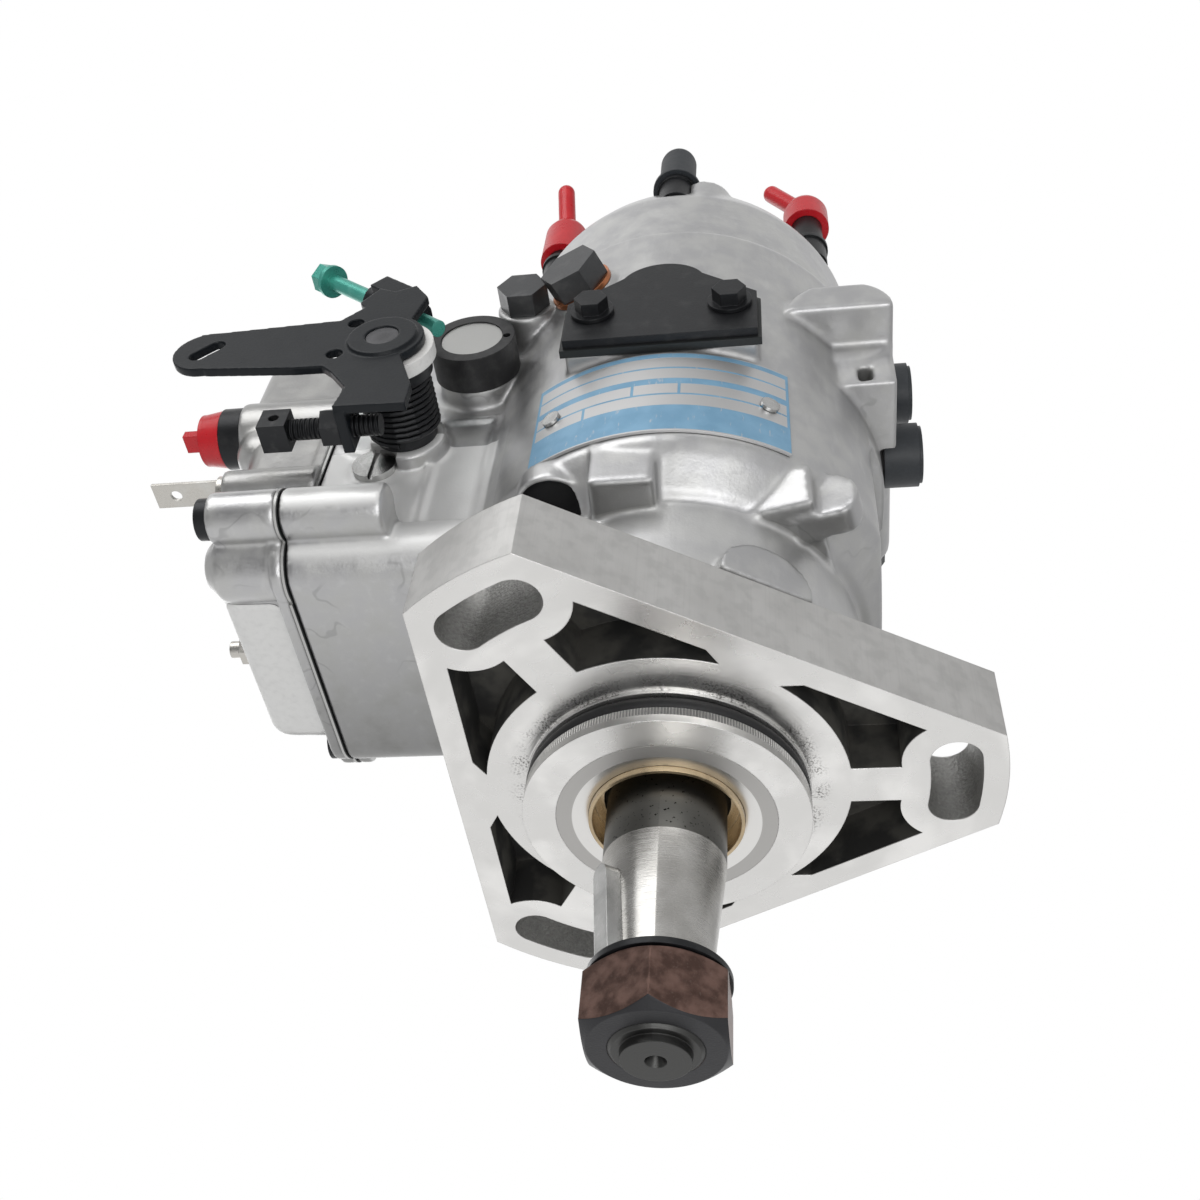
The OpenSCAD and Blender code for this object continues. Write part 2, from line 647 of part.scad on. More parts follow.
// Timing window
window_seat = 60.4;
window_top = 62.6;
window_y = [101.6, 121, 128.5, 134];
window_half = 26;
window_bolt = [115.5, 18.7];
module window_plate(a, b, grow) {
    translate([a, 0, 0]) rotate([90, 0, 90]) linear_extrude(height = b - a) {
        polygon([[window_y[0] - grow, -window_half - grow], [window_y[0] - grow, window_half + grow],
            [window_y[1], window_half + grow], [window_y[3], 10.5 + grow], [window_y[3], -10.5 - grow],
            [window_y[1], -window_half - grow]]);
    }
    rod_x(window_y[2], 0, 12.1 + grow, a, b);
}
module timing_cover() {
    color([0.2, 0.21, 0.22]) difference() {
        window_plate(window_top, window_top + 2.5, 0);
        for (z = [-1, 1] * window_bolt[1]) rod_x(window_bolt[0], z, 2.8, 50, 80);
    }
}
module timing_cover_bolts() {
    face = window_top + 2.5;
    color([0.15, 0.15, 0.15]) for (z = [-1, 1] * window_bolt[1]) {
        rod_x(window_bolt[0], z, 2.5, 49, face + 3);
        rod_x(window_bolt[0], z, 6, face + fit, face + 1.2);
        translate([face + 1, window_bolt[0], z]) rotate([0, 90, 0]) hex_z(8, 3.8);
    }
}
plate_y = [63, 99];
plate_half_angle = 33;
rivet_y = 80.6;
rivet_angle = 27.5;
module name_plate() {
    color([0.45, 0.66, 0.82]) difference() {
        intersection() {
            ring_y(body_r + 0.9, body_r + 0.1, plate_y[0], plate_y[1]);
            along_y(plate_y[0], plate_y[1])
                polygon([[0, 0], big * [cos(plate_half_angle), sin(plate_half_angle)], [big, 0],
                    big * [cos(plate_half_angle), -sin(plate_half_angle)]]);
        }
        for (side = [-1, 1]) rotate([0, side * rivet_angle, 0]) rod_x(rivet_y, 0, 1.6, 50, 70);
    }
}
module name_plate_rivets() {
    color([0.6, 0.6, 0.6]) for (side = [-1, 1]) rotate([0, side * rivet_angle, 0]) {
        rod_x(rivet_y, 0, 1.4, body_r + 0.1, body_r + 1.5);
        rod_x(rivet_y, 0, 2.6, body_r + 1.05, body_r + 1.9);
    }
}
module hex_plugs() {
    color([0.16, 0.17, 0.17]) {
        rod_x(side_plug[0], side_plug[1], 5, plug_x - 8, plug_x + 1);
        translate([plug_x + fit, side_plug[0], side_plug[1]]) rotate([0, 90, 0]) hex_z(13, 7);
        angled_plug() rod_z(0, 0, 6, -8, 2);
        angled_plug() translate([0, 0, 1.6]) hex_z(16, 7.5);
    }
}
module copper_washer() {
    color([0.7, 0.4, 0.28]) angled_plug() difference() {
        rod_z(0, 0, 9.5, fit, 1.55);
        rod_z(0, 0, 6.2, -1, 2);
    }
}
module arm_pivot_shaft() {
    color([0.8, 0.8, 0.8]) difference() {
        union() {
            rod_x(arm_pivot[0], arm_pivot[1], pivot_r, -gov_half_w + 2, gov_half_w + 2);
            rod_x(arm_pivot[0], arm_pivot[1], pivot_head_r, gov_half_w + 0.85, gov_half_w + 2.8);
        }
        block(gov_half_w + 1.8, gov_half_w + 4, arm_pivot[0] - 8, arm_pivot[0] + 8, arm_pivot[1] - 0.7, arm_pivot[1] + 0.7);
    }
}
module underside_caps() {
    color([0.13, 0.14, 0.16]) for (y = underside_ys) difference() {
        union() {
            rod_z(underside_x, y, 9.6, -body_r - 11, -body_r - 0.6);
            rod_z(underside_x, y, 8.6, -body_r - 12, -body_r - 10);
        }
        rod_z(underside_x, y, 6.5 + fit, -body_r - 4.1, -body_r);
    }
}
module side_cap() {
    color([0.13, 0.13, 0.13]) difference() {
        rod_x(130, 57, 12.6, side_cap_x + fit, side_cap_x + 11);
        rod_x(130, 57, 9.1, side_cap_x + 8, side_cap_x + 12);
        rod_x(130, 46.6, 1.1, side_cap_x + 6, side_cap_x + 12);
    }
    color([0.75, 0.74, 0.73]) rod_x(130, 57, 9, side_cap_x + 8.05, side_cap_x + 10.6);
}

// Drive shaft and what turns with it
key_turn = 50;
key_w = 5;
key_seat = 3;
key_rise = 3.2;
module key_shape(grow) {
    slope = atan((taper_big_r - taper_small_r) / taper_len);
    rotate([0, -key_turn, 0]) translate([journal_r - 1.4, -32.6, 0]) rotate([0, 0, -slope]) {
        translate([-key_seat - grow, key_w / 2 - key_len, -key_w / 2 - grow])
            cube([key_seat + key_rise + grow, key_len - key_w / 2, key_w + 2 * grow]);
        translate([-key_seat - grow, 0, 0]) rotate([0, 90, 0]) cylinder(h = key_seat + key_rise + grow, r = key_w / 2 + grow);
    }
}
module drive_shaft() {
    color([0.62, 0.62, 0.63]) difference() {
        union() {
            turned_y() polygon([[0, nose_end], [7.4, nose_end], [7.6, nut_front - 0.7], [9.25, nut_front - 0.7],
                [thread_r, nut_front], [thread_r, taper_front], [taper_small_r, taper_front], [taper_big_r, -22.8],
                [taper_big_r, relief_end], [journal_r, relief_end + 0.5], [journal_r, spindle_start - 4],
                [journal_r + 1.5, spindle_start - 4 + seat_gap], [journal_r + 1.5, spindle_start],
                [spindle_r, spindle_start], [spindle_r, spindle_end], [0, spindle_end]]);
            block(-11, 11, spindle_end - 1, rotor_start + 4.8, -4.9, 4.9);
        }
        key_shape(fit);
        translate([0, nose_end - 0.1, 0]) rotate([-90, 0, 0]) cylinder(h = 3.2, r1 = 2.4, r2 = 0.6);
    }
}
module shaft_key() { color([0.55, 0.55, 0.55]) key_shape(0); }
module drive_nut() {
    color([0.33, 0.2, 0.15]) difference() {
        intersection() {
            hex_y(0, 0, nut_af, nut_front, nut_front + nut_t);
            turned_y() polygon([[0, nut_front], [nut_af / 2 - 0.5, nut_front], [nut_af / sqrt(3) + 0.1, nut_front + 2],
                [nut_af / sqrt(3) + 0.1, nut_front + nut_t - 2], [nut_af / 2 - 0.5, nut_front + nut_t], [0, nut_front + nut_t]]);
        }
        rod_y(0, 0, thread_r + fit, nut_front - 1, nut_front + nut_t + 1);
    }
}
module lock_washer() {
    color([0.35, 0.33, 0.32]) difference() {
        ring_y(15.65, thread_r + 0.2, nut_front + nut_t + fit, taper_front - fit);
        rotate([0, -150, 0]) block(0, 20, nut_front, taper_front + 1, -0.6, 0.6);
    }
}
cage_r = 45.5;
cage_disc = weight_pivot[1] + 0.6;
module weight_cage() {
    color([0.55, 0.55, 0.56]) {
        ring_y(cage_r, spindle_r + fit, cage_disc, spindle_end - 0.2);
        ring_y(cage_r, cage_r - 2.2, 100, cage_disc + 1);
        for (i = [0 : weight_count - 1]) rotate([0, 45 + i * 360 / weight_count, 0])
            block(26, cage_r - 1, 104, cage_disc + 1, -2.5, 2.5);
    }
}
module governor_weight(i) {
    color([0.42, 0.42, 0.44]) rotate([0, i * 360 / weight_count, 0]) intersection() {
        translate([0, 0, -weight_w / 2]) linear_extrude(height = weight_w)
            polygon([[24, 99], [35, 99], [37.6, 101.5], [37.6, weight_pivot[1] - 1], [36.5, weight_pivot[1] - 0.3],
                [18.8, weight_pivot[1] - 0.7], [18.8, sleeve_end + 0.4], [24, sleeve_end + 0.4]]);
        rod_y(0, 0, 38.6, 90, 130);
    }
}
module thrust_sleeve() {
    color([0.5, 0.5, 0.52]) difference() {
        turned_y() polygon([[spindle_r + fit, sleeve_front], [22, sleeve_front], [22, sleeve_front + 3], [17, sleeve_front + 3],
            [17, sleeve_end - 3], [20.4, sleeve_end - 3], [20.4, sleeve_end], [spindle_r + fit, sleeve_end]]);
    }
}

// Rotor with the pumping plungers at its front and the transfer pump blades at its rear
module rotor() {
    color([0.5, 0.51, 0.53]) difference() {
        turned_y() polygon([[0, rotor_start], [rotor_head_r, rotor_start], [rotor_head_r, head_start - 0.6],
            [rotor_r, head_start - 0.6], [rotor_r, pump_end - 0.1], [0, pump_end - 0.1]]);
        block(-11.1, 11.1, rotor_start - 1, rotor_start + 5, -5, 5);
        rod_x(cam_y, 0, plunger_r + 0.01, -rotor_head_r - 1, rotor_head_r + 1);
        block(-rotor_head_r - 1, rotor_head_r + 1, cam_y - 8.05, cam_y + 8.05, -5.05, 5.05);
        for (a = [0, 90]) rotate([0, a, 0]) block(-20, 20, pump_start, pump_end, -1.03, 1.03);
    }
}
module pump_blades() {
    color([0.4, 0.4, 0.42]) for (i = [0 : 3]) rotate([0, 90 * i, 0])
        block(3.5, rotor_r + 0.3, pump_start + fit, pump_end - 0.15, -1, 1);
}
// Plunger, roller shoe and roller, each its own solid; they slide together along the radius
module plunger_set(side) {
    color([0.6, 0.6, 0.62]) mirror([side < 0 ? 1 : 0, 0, 0]) {
        rod_x(cam_y, 0, plunger_r, 6, 15.4);
        difference() {
            block(15.4 + fit, 21.4, cam_y - 8, cam_y + 8, -5, 5);
            rod_y(roller_x, 0, roller_r + fit, cam_y - 9, cam_y + 9);
        }
        rod_y(roller_x, 0, roller_r, cam_y - 7.5, cam_y + 7.5);
    }
}
module cam_ring() {
    color([0.47, 0.47, 0.5]) difference() {
        along_y(cam_start, cam_end) difference() {
            circle(r = cam_r);
            difference() {
                circle(r = cam_base_r);
                for (i = [0 : outlet_count - 1]) rotate(15 + i * 360 / outlet_count)
                    translate([cam_base_r + 3, 0]) circle(r = lobe_r);
            }
        }
        rod_z(0, cam_y, 5.05, -cam_r - 1, -cam_r + 8);
    }
}
module advance_pin() {
    color([0.6, 0.6, 0.6]) {
        rod_z(0, cam_y, 5, -cam_r, -cam_r + 7.5);
        rod_z(0, cam_y, 2.4, -advance_z, -cam_r + 1);
        translate([0, cam_y, -advance_z]) sphere(r = 3.4);
    }
}
module advance_piston() {
    color([0.65, 0.65, 0.67]) difference() {
        rod_x(cam_y, -advance_z, advance_r, -18, 18);
        rod_z(0, cam_y, 3.75, -advance_z - 4.5, -advance_z + 12);
        rod_x(cam_y, -advance_z, 6, -19, -8);
    }
}
module metering_valve() {
    color([0.7, 0.7, 0.72]) {
        rod_z(0, valve_y, 4, 31.2, link_z - 3.5);
        rod_z(0, valve_y, 5, link_z - 4, link_z - 2);
        block(0, valve_arm, valve_y - 2, valve_y + 2, link_z - 4, link_z - 2);
        rod_z(valve_arm, valve_y, 2, link_z - 4, link_z - 2);
        rod_z(valve_arm, valve_y, 1.2, link_z - 2.5, link_z + 2.5);
    }
}
arm_y = [80.2, 83.3];
spring_z = 61.5;
module governor_arm() {
    color([0.55, 0.56, 0.58]) difference() {
        union() {
            block(-21, 21, arm_y[0], arm_y[1], -7, arm_pivot[1] + 4);
            for (x = [-19, 16]) block(x, x + 3, arm_y[0], arm_pivot[0] + 4, arm_pivot[1] - 4, arm_pivot[1] + 4);
            for (x = [-19, 16]) rod_x(arm_pivot[0], arm_pivot[1], 5, x, x + 3);
        }
        rod_x(arm_pivot[0], arm_pivot[1], pivot_r + run_gap, -30, 30);
        block(-15.6, 15.6, arm_y[0] - 1, arm_y[1] + 1, -8, 17);
        rod_y(valve_arm, link_z, 2.2, arm_y[0] - 1, arm_y[1] + 1);
        rod_y(-8, spring_z, 1.6, arm_y[0] - 1, arm_y[1] + 1);
        for (x = [-30, 17]) block(x, x + 13, arm_y[0] - 1, arm_y[1] + 1, 20, 70);
    }
}
module governor_link() {
    color([0.66, 0.66, 0.6]) difference() {
        union() {
            rod_y(valve_arm, link_z, 1.4, arm_y[0] - 2.6, valve_y - 2.5);
            rod_y(valve_arm, link_z, 3, arm_y[0] - 2.6, arm_y[0] - 0.3);
            rod_y(valve_arm, link_z, 3, arm_y[1] + 0.3, arm_y[1] + 2.5);
            rod_z(valve_arm, valve_y, 3.2, link_z - 1.7, link_z + 1.7);
        }
        rod_z(valve_arm, valve_y, 1.75, link_z - 3, link_z + 3);
    }
}

// Round wire bent into a coil about Y, closed at both ends
module coil(r, wire_r, pitch, turns, steps = 16, sides = 6) {
    n = floor(turns * steps);
    rings = [for (i = [0 : n]) let (t = i * 360 / steps) [for (j = [0 : sides - 1])
        let (a = j * 360 / sides, q = r + wire_r * cos(a)) [q * cos(t), pitch * t / 360 + wire_r * sin(a), q * sin(t)]]];
    points = [for (ring = rings) for (p = ring) p];
    walls = [for (i = [0 : n - 1]) for (j = [0 : sides - 1]) let (k = (j + 1) % sides)
        [i * sides + j, i * sides + k, (i + 1) * sides + k, (i + 1) * sides + j]];
    ends = [[for (j = [sides - 1 : -1 : 0]) j], [for (j = [0 : sides - 1]) n * sides + j]];
    polyhedron(points = points, faces = concat(walls, ends), convexity = 8);
}
module governor_spring() {
    color([0.6, 0.6, 0.6]) translate([-8, arm_y[1] + 0.9, spring_z]) coil(3.4, 0.6, 2.3, 6);
}

// Throttle shaft, lever and screws
module throttle_shaft() {
    color([0.5, 0.5, 0.5]) {
        rod_x(throttle_y, throttle_z, throttle_r, -gov_half_w + 2.5, lever_x + lever_t + 0.5);
        rod_x(throttle_y, throttle_z, 7, -14, -3);
        block(-12, -4, throttle_y + 4, throttle_y + 10, throttle_z - 8, throttle_z - 1);
        block(-12, -4, throttle_y + 7.5, throttle_y + 10, throttle_z - 16, throttle_z - 1);
    }
}
module lever_outline() {
    eye = [throttle_y, throttle_z + lever_len - 1];
    difference() {
        union() {
            translate([throttle_y, throttle_z]) circle(r = 11.2);
            translate(eye) circle(r = 9.4);
            polygon([[throttle_y - 12.4, throttle_z + 14], [throttle_y - 12.2, throttle_z + 22], [eye[0] - 9.6, eye[1] - 2],
                [eye[0] + 9, eye[1] + 4], [throttle_y + 11.3, throttle_z + 14], [throttle_y + 17.5, throttle_z + 8.5],
                [throttle_y + 20.5, throttle_z + 10.5], [throttle_y + 28, throttle_z + 6], [throttle_y + 25.5, throttle_z + 1],
                [throttle_y + 28, throttle_z - 4.5], [throttle_y + 21, throttle_z - 9], [throttle_y + 9, throttle_z - 6.5],
                [throttle_y - 2, throttle_z]]);
            polygon([[throttle_y - 6, throttle_z + 14], [throttle_y - 12.4, throttle_z + 14], [throttle_y - 15.5, throttle_z + 11],
                [throttle_y - 23.5, throttle_z + 5.5], [throttle_y - 32.5, throttle_z + 7], [throttle_y - 33, throttle_z - 12],
                [throttle_y - 24, throttle_z - 12], [throttle_y - 9, throttle_z - 6.5]]);
        }
        translate([throttle_y, throttle_z]) circle(r = throttle_r + fit);
        translate([eye[0] - 2.4, eye[1] + 2]) circle(r = 2.2);
        translate([eye[0] + 2.4, eye[1] - 2.4]) circle(r = 2.2);
        translate([eye[0] - 2.4, eye[1] + 2]) rotate(-42.5) translate([0, -2.2]) square([6.5, 4.4]);
        translate([throttle_y + 9, throttle_z + 9.2]) circle(r = 2.2);
        translate([throttle_y - 6.5, throttle_z + 12]) circle(r = 2.2);
    }
}
under_lever = lever_x - 6.5;
idle_at = [under_lever, throttle_y - 28];
tab_z = throttle_z + 7;
stop_axis = [[under_lever, throttle_y + 55, throttle_z + 31], [under_lever, throttle_y + 20, throttle_z - 9]];
stop_turn = atan2(stop_axis[0][2] - stop_axis[1][2], stop_axis[0][1] - stop_axis[1][1]);
// Along the stop screw, with z running from its tip to its head
module along_stop() { translate(stop_axis[1]) rotate([stop_turn - 90, 0, 0]) children(); }
module throttle_lever() {
    color([0.2, 0.21, 0.22]) difference() {
        union() {
            translate([lever_x, 0, 0]) rotate([90, 0, 90]) linear_extrude(height = lever_t) lever_outline();
            ring_x(throttle_y, throttle_z, 9.5, throttle_r + fit, lever_x, lever_x + lever_t + 1);
            block(idle_at[0] - 5, lever_x + 1, idle_at[1] - 5, idle_at[1] + 6, tab_z - 3, tab_z);
            along_stop() translate([0, 0, 7]) cylinder(h = 20, r = 5.2);
            along_stop() translate([0, -3.2, 8]) cube([lever_x + 1.5 - stop_axis[0][0], 6.4, 15]);
        }
        rod_z(idle_at[0], idle_at[1], 2.8 + fit, tab_z - 4, tab_z + 1);
        along_stop() translate([0, 0, -5]) cylinder(h = 50, r = 2.4 + fit);
    }
}
module lever_sleeve() {
    color([0.16, 0.16, 0.16]) {
        ring_x(throttle_y, throttle_z, 8.6, throttle_r + fit, gov_half_w + 5.3, under_lever);
        ring_x(throttle_y, throttle_z, 11.4, throttle_r + fit, lever_x - 8.5, lever_x - 4.5);
    }
}
module lever_spring() {
    color([0.12, 0.12, 0.12]) translate([gov_half_w + 8, throttle_y, throttle_z]) rotate([0, 0, -90]) coil(9.7, 0.75, 1.75, 9, 20);
}
module nylon_washer() {
    color([0.93, 0.92, 0.9]) ring_x(throttle_y, throttle_z, 13.2, throttle_r + fit, lever_x - 4.2, lever_x - seat_gap);
}
module idle_screw() {
    color([0.2, 0.2, 0.2]) {
        rod_z(idle_at[0], idle_at[1], 2.8, tab_z - 10, tab_z + 15);
        translate([idle_at[0], idle_at[1], tab_z + fit]) hex_z(9, 5);
        translate([idle_at[0], idle_at[1], tab_z + 14]) difference() {
            translate([-4, -4, 0]) cube([8, 8, 7.5]);
            translate([-5, 0, 3.7]) rotate([0, 90, 0]) cylinder(h = 10, r = 1.4);
        }
    }
}
module stop_screw() {
    length = norm(stop_axis[0] - stop_axis[1]);
    color([0.2, 0.55, 0.5]) along_stop() {
        translate([0, 0, -2]) cylinder(h = length, r = 2.4);
        translate([0, 0, length - 5]) cylinder(h = 1.4, r = 4.9);
        translate([0, 0, length - 4]) hex_z(8, 4.5);
    }
}

mounting_flange();
pump_housing();
pilot_oring();
front_seal();
shaft_bushings();
hydraulic_head();
pump_liner();
end_cap();
end_cap_screws();
regulator_plug();
inlet_fitting();
outlet_fittings();
outlet_caps();
outlet_cap_black();
advance_plug();
governor_cover();
gaskets();
cover_screws();
cover_terminals();
return_fitting();
return_cap();
shutoff_solenoid();
timing_cover();
timing_cover_bolts();
name_plate();
name_plate_rivets();
hex_plugs();
copper_washer();
arm_pivot_shaft();
underside_caps();
side_cap();
drive_shaft();
shaft_key();
drive_nut();
lock_washer();
weight_cage();
rotor();
pump_blades();
governor_weight(0);  // governor_weight_1
governor_weight(1);  // governor_weight_2
governor_weight(2);  // governor_weight_3
governor_weight(3);  // governor_weight_4
thrust_sleeve();
plunger_set(1);  // plunger_set_1
plunger_set(-1);  // plunger_set_2
cam_ring();
advance_pin();
advance_piston();
metering_valve();
governor_arm();
governor_link();
governor_spring();
shutoff_arm();
throttle_shaft();
throttle_lever();
lever_sleeve();
lever_spring();
nylon_washer();
idle_screw();
stop_screw();
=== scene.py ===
# %% [markdown]
# A rotary diesel injection pump: a cast and machined aluminium body with a tapered steel drive
# shaft, a governor housing on one side, black levers and small coloured caps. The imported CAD
# model gives every rigid shape, so most of this lesson is about finishes: how raw castings,
# milled faces, ground steel and plated parts are told apart.

# %% Load the frame
import math

import bpy
from mathutils import Matrix, Vector
from mathutils.bvhtree import BVHTree


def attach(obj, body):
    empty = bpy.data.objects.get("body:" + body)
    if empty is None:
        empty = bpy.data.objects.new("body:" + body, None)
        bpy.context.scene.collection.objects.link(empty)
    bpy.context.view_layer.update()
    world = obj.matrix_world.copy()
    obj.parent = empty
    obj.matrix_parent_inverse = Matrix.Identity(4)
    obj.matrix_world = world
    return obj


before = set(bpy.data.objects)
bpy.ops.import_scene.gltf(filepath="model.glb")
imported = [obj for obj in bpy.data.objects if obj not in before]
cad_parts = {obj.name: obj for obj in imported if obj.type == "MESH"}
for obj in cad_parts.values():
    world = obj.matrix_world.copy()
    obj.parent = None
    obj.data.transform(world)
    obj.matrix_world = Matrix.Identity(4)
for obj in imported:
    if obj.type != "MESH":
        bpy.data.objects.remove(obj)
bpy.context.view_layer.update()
MM = 0.001

# %% [markdown]
# The pump was photographed from close by, a little above its drive end, and the picture is turned
# a quarter so that the governor lies to the left. The camera keeps that roll: its axes are
# written as directions in the pump's frame.

# %% Camera
view_right = Vector((-0.12400, 0.07134, -0.98971))
view_down = Vector((-0.75202, -0.65747, 0.04683))
view_ahead = Vector((-0.64737, 0.75010, 0.13518))
lens_mm, sensor_mm = 41.66, 36.0
camera = bpy.data.objects.new("photo_camera", bpy.data.cameras.new("photo_camera"))
bpy.context.scene.collection.objects.link(camera)
turn = Matrix((view_right, -view_down, -view_ahead)).transposed()
camera.matrix_world = Matrix.Translation((0.2515, -0.2205, -0.03095)) @ turn.to_4x4()
camera.data.lens, camera.data.sensor_width = lens_mm, sensor_mm
camera.data.clip_start, camera.data.clip_end = 0.01, 20
bpy.context.scene.camera = camera
bpy.context.scene.view_settings.view_transform = "Standard"
print("camera in mm:", [round(v / MM) for v in camera.matrix_world.translation])

# %% [markdown]
# Material maths reads best as plain sums. One small class wraps a node's output, so that `1 -
# mask * 0.5` adds the Math nodes it needs. A second class holds one material's tree and has one
# method that adds any other node.


# %% Sockets as numbers
def plug(tree, slot, value):
    """Sets a socket's value, or links what makes it."""
    if isinstance(value, Value):
        tree.links.new(value.out, slot)
    elif value is not None:
        slot.default_value = value


class Value:
    """One node output that Python's operators work on."""

    def __init__(self, tree, out):
        self.tree, self.out = tree, out

    def maths(self, operation, *others):
        node = self.tree.nodes.new("ShaderNodeMath")
        node.operation = operation
        for slot, value in zip(node.inputs, others):
            plug(self.tree, slot, value)
        return Value(self.tree, node.outputs[0])

    def __add__(self, other):
        return self.maths("ADD", self, other)

    def __sub__(self, other):
        return self.maths("SUBTRACT", self, other)

    def __rsub__(self, other):
        return self.maths("SUBTRACT", other, self)

    def __mul__(self, other):
        return self.maths("MULTIPLY", self, other)

    def __truediv__(self, other):
        return self.maths("DIVIDE", self, other)

    def __pow__(self, other):
        return self.maths("POWER", self, other)

    def __gt__(self, other):
        return self.maths("GREATER_THAN", self, other)

    def __lt__(self, other):
        return self.maths("LESS_THAN", self, other)

    def __abs__(self):
        return self.maths("ABSOLUTE", self)

    def sine(self):
        return self.maths("SINE", self)

    def least(self, other):
        return self.maths("MINIMUM", self, other)

    def most(self, other):
        return self.maths("MAXIMUM", self, other)

    def within(self, low, high):
        """1 between two limits, and 0 outside them."""
        return (self > low) * (self < high)

    def fade(self, low, high):
        """Goes smoothly from 0 at low to 1 at high."""
        node = self.tree.nodes.new("ShaderNodeMapRange")
        node.interpolation_type = "SMOOTHSTEP"
        for name, value in (("Value", self), ("From Min", low), ("From Max", high)):
            plug(self.tree, node.inputs[name], value)
        return Value(self.tree, node.outputs["Result"])

    __radd__ = __add__
    __rmul__ = __mul__


class Finish:
    """One material: its tree, the pump's own coordinates, and the method that adds nodes."""

    def __init__(self, name):
        self.material = bpy.data.materials.new(name)
        self.material.use_nodes = True
        self.tree = self.material.node_tree
        self.shader = self.tree.nodes["Principled BSDF"]
        place = self.add("ShaderNodeTexCoord", out="Object")
        self.x, self.y, self.z = (v / MM for v in self.split(place))
        self.facing = self.split(self.add("ShaderNodeTexCoord", out="Normal"))

    def around_shaft(self):
        """Distance from the shaft's axis in mm, and the turn round it in radians."""
        radius = (self.x * self.x + self.z * self.z) ** 0.5
        return radius, self.x.maths("ARCTAN2", self.z, self.x)

    def add(self, kind, settings=None, out=0, **values):
        node = self.tree.nodes.new(kind)
        for name, value in (settings or {}).items():
            setattr(node, name, value)
        for name, value in values.items():
            plug(self.tree, node.inputs[name.replace("_", " ")], value)
        return Value(self.tree, node.outputs[out])

    def split(self, vector):
        node = self.tree.nodes.new("ShaderNodeSeparateXYZ")
        plug(self.tree, node.inputs[0], vector)
        return [Value(self.tree, out) for out in node.outputs]

    def vector(self, x, y, z):
        return self.add("ShaderNodeCombineXYZ", X=x, Y=y, Z=z)

    def noise(self, grain_mm, detail=3.0, stretch=(1, 1, 1), at=None):
        """Noise of about that grain, drawn out along an axis where stretch is more than 1."""
        at = at or (self.x, self.y, self.z)
        spot = self.vector(*(v / (grain_mm * s) for v, s in zip(at, stretch)))
        return self.add("ShaderNodeTexNoise", out="Fac", Vector=spot, Scale=1.0, Detail=detail)

    def mix(self, mask, first, second):
        """A colour between two colours, each a tuple or a link."""
        node = self.tree.nodes.new("ShaderNodeMix")
        node.data_type = "RGBA"
        for number, value in ((0, mask), (6, first), (7, second)):
            value = (*value, 1) if isinstance(value, tuple) else value
            plug(self.tree, node.inputs[number], value)
        return Value(self.tree, node.outputs[2])

    def bump(self, height, depth_mm, under=None):
        """A normal for a relief of that depth; under is the normal that it is laid on."""
        distance = depth_mm * MM
        return self.add("ShaderNodeBump", Height=height, Distance=distance, Strength=1.0, Normal=under)

    def set(self, **values):
        """Feeds the shader's own sockets, then hands the material back."""
        for name, value in values.items():
            value = (*value, 1) if isinstance(value, tuple) else value
            plug(self.tree, self.shader.inputs[name.replace("_", " ")], value)
        return self.material


# %% [markdown]
# Real edges are never perfectly sharp. The Bevel node turns the shading normal near an edge, so
# that each edge catches light as a small radius does. Ambient Occlusion masks the tight corners,
# and that mask paints shade into them.


# %% Edges and corners
def soft_edges(finish, radius_mm):
    return finish.add("ShaderNodeBevel", {"samples": 4}, Radius=radius_mm * MM)


def corners(finish, reach_mm):
    """1 in tight corners, 0 in the open."""
    reach = reach_mm * MM
    open_sky = finish.add("ShaderNodeAmbientOcclusion", {"samples": 6}, out="AO", Distance=reach)
    return 1 - open_sky.fade(0.25, 0.95)


# %% [markdown]
# Die-cast aluminium is a dull silver with a fine grain, faint flow marks from the metal running
# into the mould, and darker smudges. Noise at several sizes gives these, in colour, roughness and
# bump. An image would do it too, but it would need unwrapping and would blur close by. Light and
# shade are painted into the colour as well, and the corners are painted darker as shade. Masks in
# millimetres and in the surface's own direction pick out the front faces, the lugs' fronts and the
# cover's side, painted darker as shade, the neck and the walls on the lever's side, painted lighter
# as painted light, and the recess under the hood, painted nearly black as shade.


# %% Castings
NECK_END, NECK_R = 49, 50.5
COVER_JOINT, DOME_FRONT = 98.5, 66
WALL_Z, WALL_Y = (44, 97), (47, 100)
LUG_FRONTS, LUG_TOP = (45.5, 49.2), 20
LOW_SIDE_X = (-45, 35)
RECESS_X, RECESS_Z, RECESS_R, RECESS_Y = 45, 27, 8.2, (50.2, 62.3)


